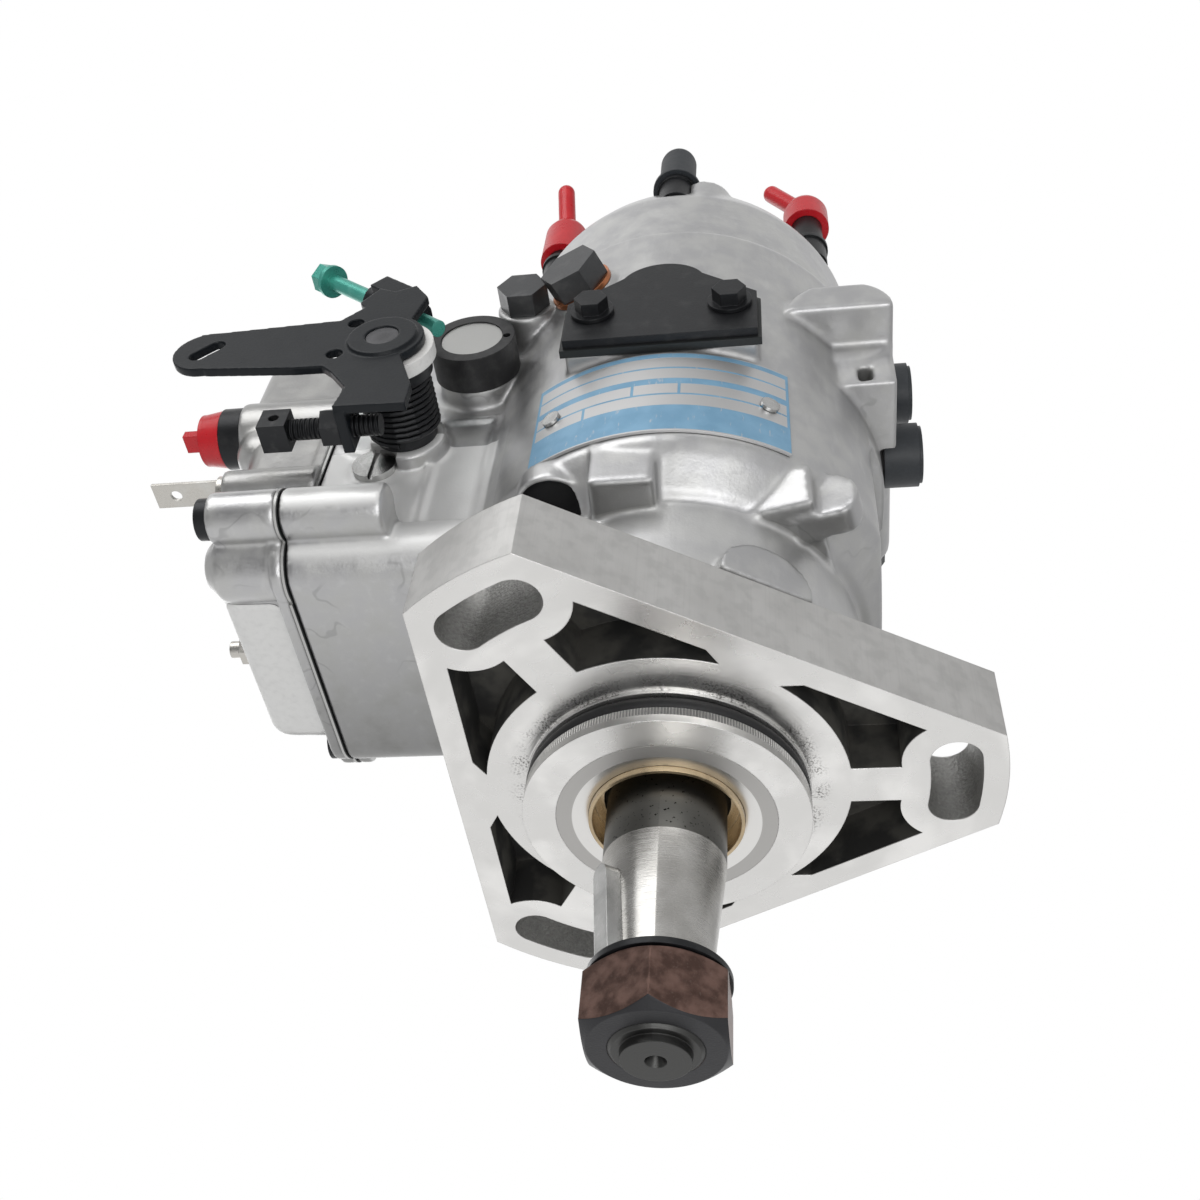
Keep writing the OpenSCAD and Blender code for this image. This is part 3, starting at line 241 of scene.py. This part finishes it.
def casting(name, light=0.60, rough=0.38, edge_mm=0.8, flow=(1, 1, 1)):
    f = Finish(name)
    grain, smudge, streak = f.noise(0.7), f.noise(9, 4), f.noise(3, 5, flow)
    painted_corner_shade = corners(f, 7)
    front = (0 - f.facing[1]).fade(0.5, 0.9)
    side = f.facing[0].fade(0.6, 0.9)
    low_side = 1 - f.x.fade(*LOW_SIDE_X)
    neck = (f.y < NECK_END) * (f.x * f.x + f.z * f.z < NECK_R**2)
    cover_side = side * (f.z > COVER_JOINT) * (f.y > DOME_FRONT)
    side_wall = side * f.z.within(*WALL_Z) * f.y.within(*WALL_Y)
    lug_front = front * f.y.within(*LUG_FRONTS) * (f.z < LUG_TOP)
    flow_mark = 1 - abs(f.noise(15, 2) - 0.5).fade(0.004, 0.018)
    flow_mark = flow_mark * f.noise(24, 1).fade(0.5, 0.6) * front
    recess = (f.x - RECESS_X) ** 2 + (f.z - RECESS_Z) ** 2 < RECESS_R**2
    recess = recess * f.y.within(*RECESS_Y)

    dull, bright = light * 0.86, light * 1.2
    shade = f.mix(smudge.fade(0.35, 0.7), (dull, dull, light * 0.87), (light, light, light * 0.985))
    shade = f.mix(streak.fade(0.5, 0.75) * 0.25, shade, (bright, bright, light * 1.19))
    # The corners are painted darker here, as painted shade.
    shade = f.mix(painted_corner_shade * 0.45, shade, (0.13, 0.127, 0.12))
    # Front faces are painted darker, as painted shade, most of all on the low side, with a little
    # random smudge.
    painted_front_shade = front * (0.05 + low_side * 0.68 + smudge.fade(0.4, 0.7) * 0.15)
    shade = f.mix(painted_front_shade, shade, (0.17, 0.17, 0.165))
    # The neck is painted lighter, as painted light.
    shade = f.mix(neck * 0.3, shade, (0.9, 0.9, 0.89))
    # The cover's side is painted darker, as painted shade.
    shade = f.mix(cover_side * 0.5, shade, (0.24, 0.235, 0.22))
    # The walls on the lever's side are painted lighter, as painted light, and made less metallic
    # below.
    shade = f.mix(side_wall * 0.85, shade, (0.9, 0.9, 0.89))
    # The lugs' front faces are painted darker, as a painted shadow.
    shade = f.mix(lug_front * 0.6, shade, (0.12, 0.12, 0.115))
    shade = f.mix(flow_mark * 0.22, shade, (0.1, 0.1, 0.1))
    # The recess under the hood is painted nearly black, as painted shade, and made dull and
    # non-metallic below.
    shade = f.mix(recess, shade, (0.008, 0.008, 0.009))

    mottle = (smudge - 0.5) * 0.25 + (grain - 0.5) * 0.1
    normal = f.bump(grain, 0.035, soft_edges(f, edge_mm))
    normal = f.bump(streak, 0.07, normal)
    return f.set(
        Base_Color=shade,
        Metallic=0.92 - recess * 0.9 - side_wall * 0.6,
        Roughness=rough + mottle + painted_corner_shade * 0.2 + recess * 0.3,
        Normal=f.bump(f.noise(16, 2), 0.3, normal),
    )


body_casting = casting("raw_die_casting", flow=(1, 3, 1))
cover_casting = casting("smooth_die_casting", light=0.63, rough=0.34, edge_mm=0.9, flow=(3, 1, 1))
print("casting finishes:", body_casting.name, cover_casting.name)

# %% [markdown]
# The flange is milled on its face and left as sawn or cast on its rim. A mask made from the
# surface's own direction picks the face out. Its tool marks are arcs, so their noise is drawn out
# round the shaft's axis. The pockets and slots are found from the flange's drawing: a triangle
# whose corners lie a third of a turn apart.


# %% Milled aluminium
CORNERS = (30, 150, -90)
RIM_INSIDE, BOSS_INSIDE = 51, 60
POCKET_Y, POCKET_R, BOSS_TURN = (0.25, 14.5), (42, 78), 12.4
SLOT_Y, SLOT_R, SLOT_TURN = (0.3, 20.2), (61.2, 74), 12.2
KNURL_Y, KNURL_R, KNURL_RIDGES = (-7.6, -5.5), (33.2, 34.5), 300
FACE_Y, SMEAR_R = -0.4, (35.5, 39.5)


def milled_flange():
    """Bright tool marks on the face, a duller rim, slots and pockets painted dark as shade, a knurled
    edge.
    """
    light = 0.66
    f = Finish("milled_flange")
    radius, angle = f.around_shaft()
    degrees = angle * (180 / math.pi)
    faced = abs(f.facing[1]).fade(0.8, 0.95)
    rim = 1 - faced
    rings = f.noise(0.35, 2, at=(radius, angle * 1.2, f.y * 0.2))
    sweep = f.noise(5, 3, at=(radius * 0.3, angle * 9, f.y))
    saw = f.noise(0.6, 3, (1, 14, 1), at=(f.x + f.z, f.y * 0.3, f.z - f.x))
    blotch, grain = f.noise(11, 4), f.noise(0.8, 3)

    pocket = f.y.within(*POCKET_Y) * radius.within(*POCKET_R)
    slot = f.y.within(*SLOT_Y) * radius.within(*SLOT_R)
    slot = slot * sum(degrees.within(corner - SLOT_TURN, corner + SLOT_TURN) for corner in CORNERS)
    for corner in CORNERS:
        side_at = math.radians(corner + 60)
        inside = f.x * math.cos(side_at) + f.z * math.sin(side_at) < RIM_INSIDE
        boss = (radius > BOSS_INSIDE) * degrees.within(corner - BOSS_TURN, corner + BOSS_TURN)
        pocket = pocket * inside * (1 - boss)
    smear = f.noise(0.6, 4).fade(0.48, 0.6) * f.noise(9, 2).fade(0.4, 0.6) * (f.y > FACE_Y)
    smear = smear * (1 - radius.fade(*SMEAR_R))
    knurl = (angle * KNURL_RIDGES).sine() * f.y.within(*KNURL_Y) * radius.within(*KNURL_R)

    dull = (light * 0.9, light * 0.89, light * 0.87)
    shade = f.mix(blotch.fade(0.3, 0.7), dull, (light, light * 0.99, light * 0.97))
    shade = f.mix(faced * (0.55 + sweep.fade(0.45, 0.7) * 0.45), shade, (0.95, 0.94, 0.92))
    shade = f.mix(rim * saw.fade(0.5, 0.7) * 0.10, shade, (0.42, 0.42, 0.41))
    shade = f.mix(rim * f.noise(4, 6).fade(0.45, 0.65) * 0.3, shade, (0.45, 0.45, 0.44))
    # The slots are painted dark, as painted shade, over a random grain.
    shade = f.mix(slot * (grain * 0.5 + 0.2), shade, (0.10, 0.10, 0.09))
    shade = f.mix(smear * 0.75, shade, (0.06, 0.055, 0.05))
    # The pockets are painted dark, as painted shade.
    pocket_shade = f.mix(blotch.fade(0.4, 0.6), (0.08, 0.08, 0.078), (0.17, 0.165, 0.15))
    shade = f.mix(pocket, shade, pocket_shade)
    shade = f.mix(knurl.fade(0.2, 0.8), shade, (0.30, 0.30, 0.30))

    normal = f.bump(faced * rings, 0.02, soft_edges(f, 0.4))
    mottle = (blotch - 0.5) * 0.18
    return f.set(
        Base_Color=shade,
        Metallic=0.95,
        Roughness=0.27 + rim * 0.1 + mottle + pocket * 0.4 + slot * 0.2,
        Normal=f.bump(rim * saw * 0.3 + knurl * 2 + slot * grain * 4, 0.10, normal),
    )


# %% [markdown]
# Ground and turned steel is told from aluminium by its darker reflection and by fine lines that
# run round the part. The lines are noise that is fine along the axis and across it, and long
# round it. The drive shaft has three stretches along its axis, and two limits in millimetres tell
# them apart.


# %% Steel
TAPER_BACK, TAPER_FRONT = -22.8, -52.4


def turned_steel(name, shade, rough):
    f = Finish(name)
    radius, angle = f.around_shaft()
    lines = f.noise(0.25, 2, at=(radius, angle * 0.6, f.y))
    blotch = f.noise(6, 4)
    dark = tuple(v * 0.72 for v in shade)
    return f.set(
        Base_Color=f.mix(blotch.fade(0.3, 0.75), dark, shade),
        Metallic=1.0,
        Roughness=rough + (blotch - 0.5) * 0.2 + (lines - 0.5) * 0.12,
        Normal=f.bump(lines, 0.02, soft_edges(f, 0.3)),
    )


def shaft_steel():
    """A ground taper between a journal painted dark as shade and a dark threaded nose."""
    f = Finish("shaft_steel")
    radius, angle = f.around_shaft()
    lines = f.noise(0.25, 2, at=(radius, angle * 0.6, f.y))
    journal, nose = f.y > TAPER_BACK, f.y < TAPER_FRONT
    specks = (f.noise(0.9, 2) > 0.68) * journal
    dark = journal.most(nose)
    shade = f.mix(f.noise(7, 3).fade(0.3, 0.75), (0.46, 0.45, 0.43), (0.60, 0.59, 0.57))
    # The journal is painted dark, as painted shade; the threaded nose is dark too.
    shade = f.mix(dark, shade, (0.13, 0.129, 0.122))
    shade = f.mix(nose, shade, (0.075, 0.075, 0.073))
    shade = f.mix(specks, shade, (0.01, 0.01, 0.01))
    return f.set(
        Base_Color=shade,
        Metallic=1.0,
        Roughness=0.26 + (lines - 0.5) * 0.14 + dark * 0.1,
        Normal=f.bump(lines - specks, 0.02, soft_edges(f, 0.3)),
    )


dark_steel = turned_steel("hardened_dark_steel", (0.13, 0.13, 0.135), 0.35)
bright_steel = turned_steel("bright_steel", (0.62, 0.62, 0.61), 0.22)
bronze = turned_steel("bronze", (0.62, 0.49, 0.32), 0.26)
print("turned finishes:", dark_steel.name, bright_steel.name, bronze.name)


# %% [markdown]
# Plated, painted and moulded parts need less: an even coat, worn a little in patches, with the
# grain of its process. One function makes them all, and its numbers say which: zinc is metallic
# and fine, rubber dull and coarse.


# %% Coats, plastics and paper
COVER_GASKET_Z = 97.8


def coated(
    name, shade, worn, rough, metallic=0.0,
    wear=0.6, grain_mm=0.5, edge_mm=0.35, depth_mm=0.03, shine=0.5,
):
    """An even coat that is a little worn in patches, with a fine grain."""
    f = Finish(name)
    grain, patch = f.noise(grain_mm), f.noise(5, 5)
    colour = f.mix(patch.fade(0.48, 0.8) * wear, shade, worn)
    return f.set(
        Base_Color=f.mix(grain.fade(0.4, 0.9) * 0.25, colour, tuple(v * 0.6 for v in shade)),
        Metallic=metallic,
        Roughness=rough + (patch - 0.5) * 0.25 + (grain - 0.5) * 0.15,
        Specular_IOR_Level=shine,
        Normal=f.bump(grain, depth_mm, soft_edges(f, edge_mm)),
    )


def gasket_edges():
    """Black, but the cover's gasket is only a thin line: its joint is smeared with casting dust."""
    f = Finish("gasket_edges")
    dusty = f.z > COVER_GASKET_Z
    return f.set(
        Base_Color=f.mix(dusty, (0.012, 0.014, 0.014), (0.52, 0.52, 0.51)),
        Metallic=dusty * 0.9,
        Roughness=0.45,
        Normal=f.bump(f.noise(0.6), 0.03),
    )


black_coat = coated(
    "black_oxide", (0.016, 0.017, 0.019), (0.07, 0.07, 0.07), 0.38, 0.5, wear=0.35
)
satin_black = coated(
    "black_e_coat", (0.006, 0.008, 0.0105), (0.017, 0.020, 0.023), 0.36,
    wear=0.3, grain_mm=0.9, shine=0.25,
)
dark_plug = coated("dark_plug_coat", (0.075, 0.077, 0.08), (0.16, 0.16, 0.16), 0.4, 0.6)
grey_zinc = coated("grey_zinc", (0.45, 0.43, 0.39), (0.6, 0.58, 0.54), 0.32, 0.9)
green_zinc = coated("green_zinc", (0.06, 0.36, 0.29), (0.16, 0.50, 0.43), 0.32, 0.45, grain_mm=0.4)
copper = coated("copper", (0.62, 0.24, 0.11), (0.4, 0.16, 0.08), 0.3, 0.95)
tin_plate = coated("tin_plate", (0.62, 0.60, 0.56), (0.7, 0.7, 0.68), 0.3, 0.95, wear=0.5)
red_cap = coated(
    "red_cap_plastic", (0.56, 0.010, 0.018), (0.66, 0.03, 0.035), 0.3, grain_mm=1.2, edge_mm=0.5
)
black_cap = coated(
    "black_cap_plastic", (0.022, 0.026, 0.031), (0.04, 0.045, 0.05), 0.5, grain_mm=0.8, edge_mm=0.5
)
black_rubber = coated(
    "black_rubber", (0.010, 0.010, 0.011), (0.02, 0.02, 0.02), 0.5,
    wear=0.5, grain_mm=0.7, edge_mm=0.4,
)
white_nylon = coated(
    "white_nylon", (0.86, 0.85, 0.83), (0.9, 0.9, 0.88), 0.45,
    wear=0.5, grain_mm=1.0, edge_mm=0.4,
)
label_paper = coated(
    "label_paper", (0.80, 0.80, 0.79), (0.74, 0.74, 0.73), 0.45,
    grain_mm=2.0, edge_mm=0.1, depth_mm=0.02,
)

# %% [markdown]
# The name plate is a curved aluminium strip printed light blue, with bare silver rows along it.
# The rows are masks in millimetres along the body and degrees round it, so no picture is needed,
# and a small step in the bump lets each row catch the light on its edge.


# %% Name plate
PLATE_ROWS = (74.2, 78.9), (79.6, 84.0), (86.6, 91.3), (92.0, 96.6)
ROW_TURN = 32.2
ROW_GAPS = ((79, 84.5), (5.8, 6.5)), ((79, 84.5), (-5.6, -4.9)), ((74, 79.2), (18.0, 18.7))
PLATE_FRONT, PLATE_BACK = 63.5, 98.6


def printed_plate():
    f = Finish("blue_printed_plate")
    degrees = f.around_shaft()[1] * (180 / math.pi)
    rows = sum(f.y.within(*row) for row in PLATE_ROWS) * (abs(degrees) < ROW_TURN)
    for along, round_it in ROW_GAPS:
        rows = rows * (1 - f.y.within(*along) * degrees.within(*round_it))
    rim = (f.y < PLATE_FRONT).most(f.y > PLATE_BACK)
    scuffs = f.noise(1.1, 6, (1, 4, 1)).fade(0.62, 0.72)
    bare = rows.most(rim).most(scuffs * 0.5)
    brushed = f.noise(0.35, 2, (1, 12, 1))
    blue = f.mix(f.noise(6, 3).fade(0.3, 0.7), (0.17, 0.345, 0.51), (0.215, 0.41, 0.58))
    return f.set(
        Base_Color=f.mix(bare, blue, (0.60, 0.60, 0.60)),
        Metallic=0.25 + bare * 0.6,
        Roughness=0.34 + brushed * 0.12,
        Normal=f.bump(rows * -0.5 + brushed * 0.1, 0.08, soft_edges(f, 0.25)),
    )


# %% [markdown]
# Four small parts have two finishes each, told apart by a direction or by a place in millimetres:
# the nut's front and flats, the seal's ring and cone, the idle screw's thread, and the steel disc
# in the side cap.


# %% Nut, seal, thread and side cap
SEAL_CONE_R = 22.2
IDLE_X, IDLE_Y, IDLE_R, IDLE_PITCH = 62, 72, 3, 1.25
DISC_Y, DISC_Z, DISC_R, DISC_X = 130, 57, 9.05, 48.5


def phosphated_nut():
    """Red-brown on its flats and nearly black on its front face and chamfers."""
    f = Finish("phosphated_nut")
    front = (0 - f.facing[1]).fade(0.15, 0.5)
    rub, grain = f.noise(3.5, 5), f.noise(0.5, 3)
    shade = f.mix(rub.fade(0.35, 0.7), (0.085, 0.048, 0.038), (0.20, 0.120, 0.098))
    shade = f.mix(grain.fade(0.55, 0.8) * 0.4, shade, (0.20, 0.15, 0.13))
    shade = f.mix(front, shade, (0.040, 0.040, 0.043))
    return f.set(
        Base_Color=shade,
        Metallic=0.75,
        Roughness=0.36 + (rub - 0.5) * 0.2,
        Normal=f.bump(grain, 0.04, soft_edges(f, 0.5)),
    )


def seal_rings():
    """A dull outer ring and a bright turned cone inside it."""
    f = Finish("seal_rings")
    radius, angle = f.around_shaft()
    cone = 1 - radius.fade(SEAL_CONE_R, SEAL_CONE_R + 0.2)
    lines = f.noise(0.3, 2, at=(radius, angle * 0.6, f.y))
    return f.set(
        Base_Color=f.mix(cone, (0.50, 0.49, 0.475), (0.86, 0.85, 0.83)),
        Metallic=0.95,
        Roughness=0.42 - cone * 0.12 + (lines - 0.5) * 0.12,
        Normal=f.bump(lines, 0.015, soft_edges(f, 0.25)),
    )


def black_thread():
    """Black steel, with a thread's ridges round the idle screw."""
    f = Finish("black_thread")
    on_screw = (f.x - IDLE_X) ** 2 + (f.y - IDLE_Y) ** 2 < IDLE_R**2
    ridge = (f.z * (2 * math.pi / IDLE_PITCH)).sine()
    rub = f.noise(3, 4)
    return f.set(
        Base_Color=f.mix(rub.fade(0.5, 0.8) * 0.5, (0.018, 0.019, 0.021), (0.08, 0.08, 0.08)),
        Metallic=0.5,
        Roughness=0.38 + (rub - 0.5) * 0.2,
        Normal=f.bump(on_screw * ridge, 0.35, soft_edges(f, 0.3)),
    )


def ringed_cap():
    """Black rubber ring with a dull steel disc pressed into it."""
    f = Finish("ringed_cap")
    disc = (f.y - DISC_Y) ** 2 + (f.z - DISC_Z) ** 2 < DISC_R**2
    disc = disc * (f.x > DISC_X)
    grain, lines = f.noise(0.6), f.noise(0.5, 2, (1, 8, 1))
    rubber = f.mix(f.noise(3, 4).fade(0.4, 0.8), (0.012, 0.012, 0.013), (0.03, 0.03, 0.03))
    return f.set(
        Base_Color=f.mix(disc, rubber, (0.45, 0.45, 0.44)),
        Metallic=disc,
        Roughness=0.5 - disc * 0.12 + (lines - 0.5) * 0.1,
        Normal=f.bump(grain, 0.04, soft_edges(f, 0.4)),
    )


# %% [markdown]
# Each node of the CAD model takes one finish by its name. What isn't in the lists is dark steel,
# as most of the inside is.


# %% Which node has which finish
FINISHES = {
    "mounting_flange": milled_flange(),
    "pump_housing": body_casting,
    "hydraulic_head": cover_casting,
    "governor_cover": cover_casting,
    "end_cap": cover_casting,
    "pilot_oring": black_rubber,
    "gaskets": gasket_edges(),
    "front_seal": seal_rings(),
    "shaft_bushings": bronze,
    "drive_shaft": shaft_steel(),
    "shaft_key": bright_steel,
    "drive_nut": phosphated_nut(),
    "lock_washer": black_coat,
    "regulator_plug": grey_zinc,
    "outlet_caps": red_cap,
    "return_cap": red_cap,
    "outlet_cap_black": black_cap,
    "underside_caps": black_cap,
    "side_cap": ringed_cap(),
    "idle_screw": black_thread(),
    "advance_plug": dark_plug,
    "hex_plugs": dark_plug,
    "copper_washer": copper,
    "cover_terminals": tin_plate,
    "name_plate_rivets": bright_steel,
    "arm_pivot_shaft": bright_steel,
    "throttle_shaft": dark_steel,
    "throttle_lever": satin_black,
    "nylon_washer": white_nylon,
    "stop_screw": green_zinc,
    "name_plate": printed_plate(),
}
BLACK = (
    "timing_cover timing_cover_bolts lever_sleeve lever_spring cover_screws end_cap_screws"
    " outlet_fittings inlet_fitting return_fitting"
).split()
FINISHES.update({name: black_coat for name in BLACK})
for name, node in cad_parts.items():
    node.data.materials.clear()
    node.data.materials.append(FINISHES.get(name, dark_steel))
print("finishes given to", len(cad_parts), "nodes")

# %% [markdown]
# A CAD solid has knife edges, but molten aluminium can't fill one: a casting has round edges and
# filled corners all over. Remeshing a casting into small even cells and smoothing them a little
# rounds both at once, which a Bevel modifier can't do on a dense mesh. The change is a few tenths
# of a millimetre, and flat faces stay flat. The pressed lever gets the same in finer cells.


# %% Rounded castings
def round_casting(node, cell_mm, passes):
    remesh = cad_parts[node].modifiers.new("even cells", "REMESH")
    remesh.mode, remesh.voxel_size, remesh.use_smooth_shade = "VOXEL", cell_mm * MM, True
    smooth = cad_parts[node].modifiers.new("round edges", "SMOOTH")
    smooth.factor, smooth.iterations = 0.5, passes
    print(node, "has cells of", cell_mm, "mm")


round_casting("pump_housing", 0.8, 6)
round_casting("hydraulic_head", 0.8, 4)
round_casting("governor_cover", 0.7, 6)
round_casting("throttle_lever", 0.3, 6)

# %% [markdown]
# The cover carries a bare white paper label. It is a thin sheet laid on the cover by casting a
# ray for each of its points, so that it follows the surface it sticks to. A flat sheet would cut
# into the cover's curve. Its corners are rounded by narrowing its end rows.


# %% Bare paper label
LABEL_CENTRE, LABEL_HALF, LABEL_CORNER = (-3.5, 111.5), (25.5, 8.5), 3.5
LABEL_COLUMNS, LABEL_ROWS = 24, 14
LABEL_GAP, LABEL_THICK = 0.06, 0.12


def label_points():
    """Rays cast from the pump's front, where y is small, onto the cover."""
    evaluated = bpy.context.evaluated_depsgraph_get()
    cover = BVHTree.FromObject(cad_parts["governor_cover"], evaluated)
    half_x, half_z = LABEL_HALF
    for row in range(LABEL_ROWS + 1):
        up = -math.cos(math.pi * row / LABEL_ROWS) * half_z
        past = max(0, abs(up) - (half_z - LABEL_CORNER))
        reach = half_x - LABEL_CORNER + math.sqrt(max(0, LABEL_CORNER**2 - past**2))
        for column in range(LABEL_COLUMNS + 1):
            across = (2 * column / LABEL_COLUMNS - 1) * reach
            start = Vector((LABEL_CENTRE[0] + across, -100, LABEL_CENTRE[1] + up)) * MM
            hit, normal, _, _ = cover.ray_cast(start, Vector((0, 1, 0)))
            yield hit + normal * LABEL_GAP * MM


wide = LABEL_COLUMNS + 1
label_faces = [
    (r * wide + c, r * wide + c + 1, (r + 1) * wide + c + 1, (r + 1) * wide + c)
    for r in range(LABEL_ROWS)
    for c in range(LABEL_COLUMNS)
]
label_mesh = bpy.data.meshes.new("cover_label")
label_mesh.from_pydata(list(label_points()), [], label_faces)
label_mesh.materials.append(label_paper)
for polygon in label_mesh.polygons:
    polygon.use_smooth = True
label = bpy.data.objects.new("cover_label", label_mesh)
bpy.context.scene.collection.objects.link(label)
sheet = label.modifiers.new("thickness", "SOLIDIFY")
sheet.thickness, sheet.offset = LABEL_THICK * MM, 1
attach(label, "housing")
print("label of", [2 * half for half in LABEL_HALF], "mm on the governor cover")

# %% [markdown]
# The pump stands in a white tent, and three lamps give it shape. An Area lamp is soft because it
# is large, so each one is most of a metre wide and a metre or so away.


# %% Lamps
PUMP_MIDDLE = Vector((0.0, 0.1, 0.03))


def soft_lamp(name, towards, distance, size, power):
    """A square lamp that hangs in that direction from the pump and faces it."""
    lamp = bpy.data.lights.new(name, "AREA")
    lamp.shape, lamp.size, lamp.energy = "SQUARE", size, power
    holder = bpy.data.objects.new(name, lamp)
    bpy.context.scene.collection.objects.link(holder)
    towards = Vector(towards).normalized()
    holder.location = PUMP_MIDDLE + towards * distance
    holder.rotation_euler = towards.to_track_quat("Z", "Y").to_euler()
    print(name, power, "W")


soft_lamp("key_lamp", (0.75, 0.35, 0.35), 1.0, 0.7, 3.5)
soft_lamp("front_lamp", (0.62, -0.76, -0.12), 1.2, 0.8, 5)
soft_lamp("back_lamp", (-0.7, 0.6, 0.6), 1.2, 0.8, 2)

# %% [markdown]
# Bare metal looks like metal only when it mirrors something uneven. A photographed room would
# need an image, so glossy rays see a tent with brighter and darker patches instead. Their places
# are written in the photograph's own directions: above, to the right and ahead. The camera sees
# plain white, and all other rays an even light of half that strength.


# %% White tent
TENT_GREY, TENT_TOP, OTHER_RAYS = 0.24, 0.95, 0.5
world = bpy.data.worlds.new("white_tent")
bpy.context.scene.world = world
world.use_nodes = True
sky = world.node_tree
sky.nodes.clear()

path = sky.nodes.new("ShaderNodeLightPath")
seen = Value(sky, path.outputs["Is Camera Ray"])
glossy = Value(sky, path.outputs["Is Glossy Ray"])
way = sky.nodes.new("ShaderNodeTexCoord")
split = sky.nodes.new("ShaderNodeSeparateXYZ")
sky.links.new(way.outputs["Generated"], split.inputs[0])
east, north, top = (Value(sky, out) for out in split.outputs)
above = east * 0.75 + north * 0.66
right = north * 0.07 - east * 0.12 - top * 0.99
ahead = north * 0.75 - east * 0.65 + top * 0.13
beside, left, behind = abs(right), 0 - right, 0 - ahead

roof = above.fade(0.28, 0.60) * (1 - beside.fade(0.45, 0.60)) * 0.34
table = (0 - above).fade(0.05, 0.65) * 0.58
walls = beside.fade(0.72, 0.98) * 0.20
back_wall = ahead.fade(0.35, 0.85) * 0.50
window = behind.fade(0.55, 0.90) * right.fade(0.0, 0.30) * 0.75
dark_room = behind.fade(0.60, 0.85) * (1 - right.fade(-0.10, 0.10)) * 0.14
screen = left.fade(0.40, 0.60) * (1 - beside.fade(0.66, 0.80)) * ahead.fade(0.25, 0.50) * 0.55
tent = (TENT_GREY + roof + table + walls + back_wall + window + screen - dark_room).least(TENT_TOP)
strength = seen.most(glossy * tent).most((1 - seen) * (1 - glossy) * OTHER_RAYS)

background = sky.nodes.new("ShaderNodeBackground")
background.inputs["Color"].default_value = (1, 1, 1, 1)
plug(sky, background.inputs["Strength"], strength)
output = sky.nodes.new("ShaderNodeOutputWorld")
sky.links.new(background.outputs[0], output.inputs["Surface"])
print("tent of", len(sky.nodes), "nodes")

# %% [markdown]
# The floor is a plain pale disc, which needs one polygon only. It lies well below the pump, so
# that it stays out of the rolled photograph and is seen only in views from above.

# %% Floor
FLOOR_Y, FLOOR_Z, FLOOR_R, FLOOR_STEPS = 0.1, -0.30, 0.5, 96
steps = [2 * math.pi * i / FLOOR_STEPS for i in range(FLOOR_STEPS)]
ring = [(FLOOR_R * math.cos(a), FLOOR_Y + FLOOR_R * math.sin(a), FLOOR_Z) for a in steps]
floor_mesh = bpy.data.meshes.new("floor")
floor_mesh.from_pydata(ring, [], [list(range(FLOOR_STEPS))])
floor = bpy.data.objects.new("floor", floor_mesh)
bpy.context.scene.collection.objects.link(floor)
floor_mesh.materials.append(Finish("white_paper").set(Base_Color=(0.74, 0.74, 0.74), Roughness=0.9))
print("floor at z", FLOOR_Z / MM, "mm")
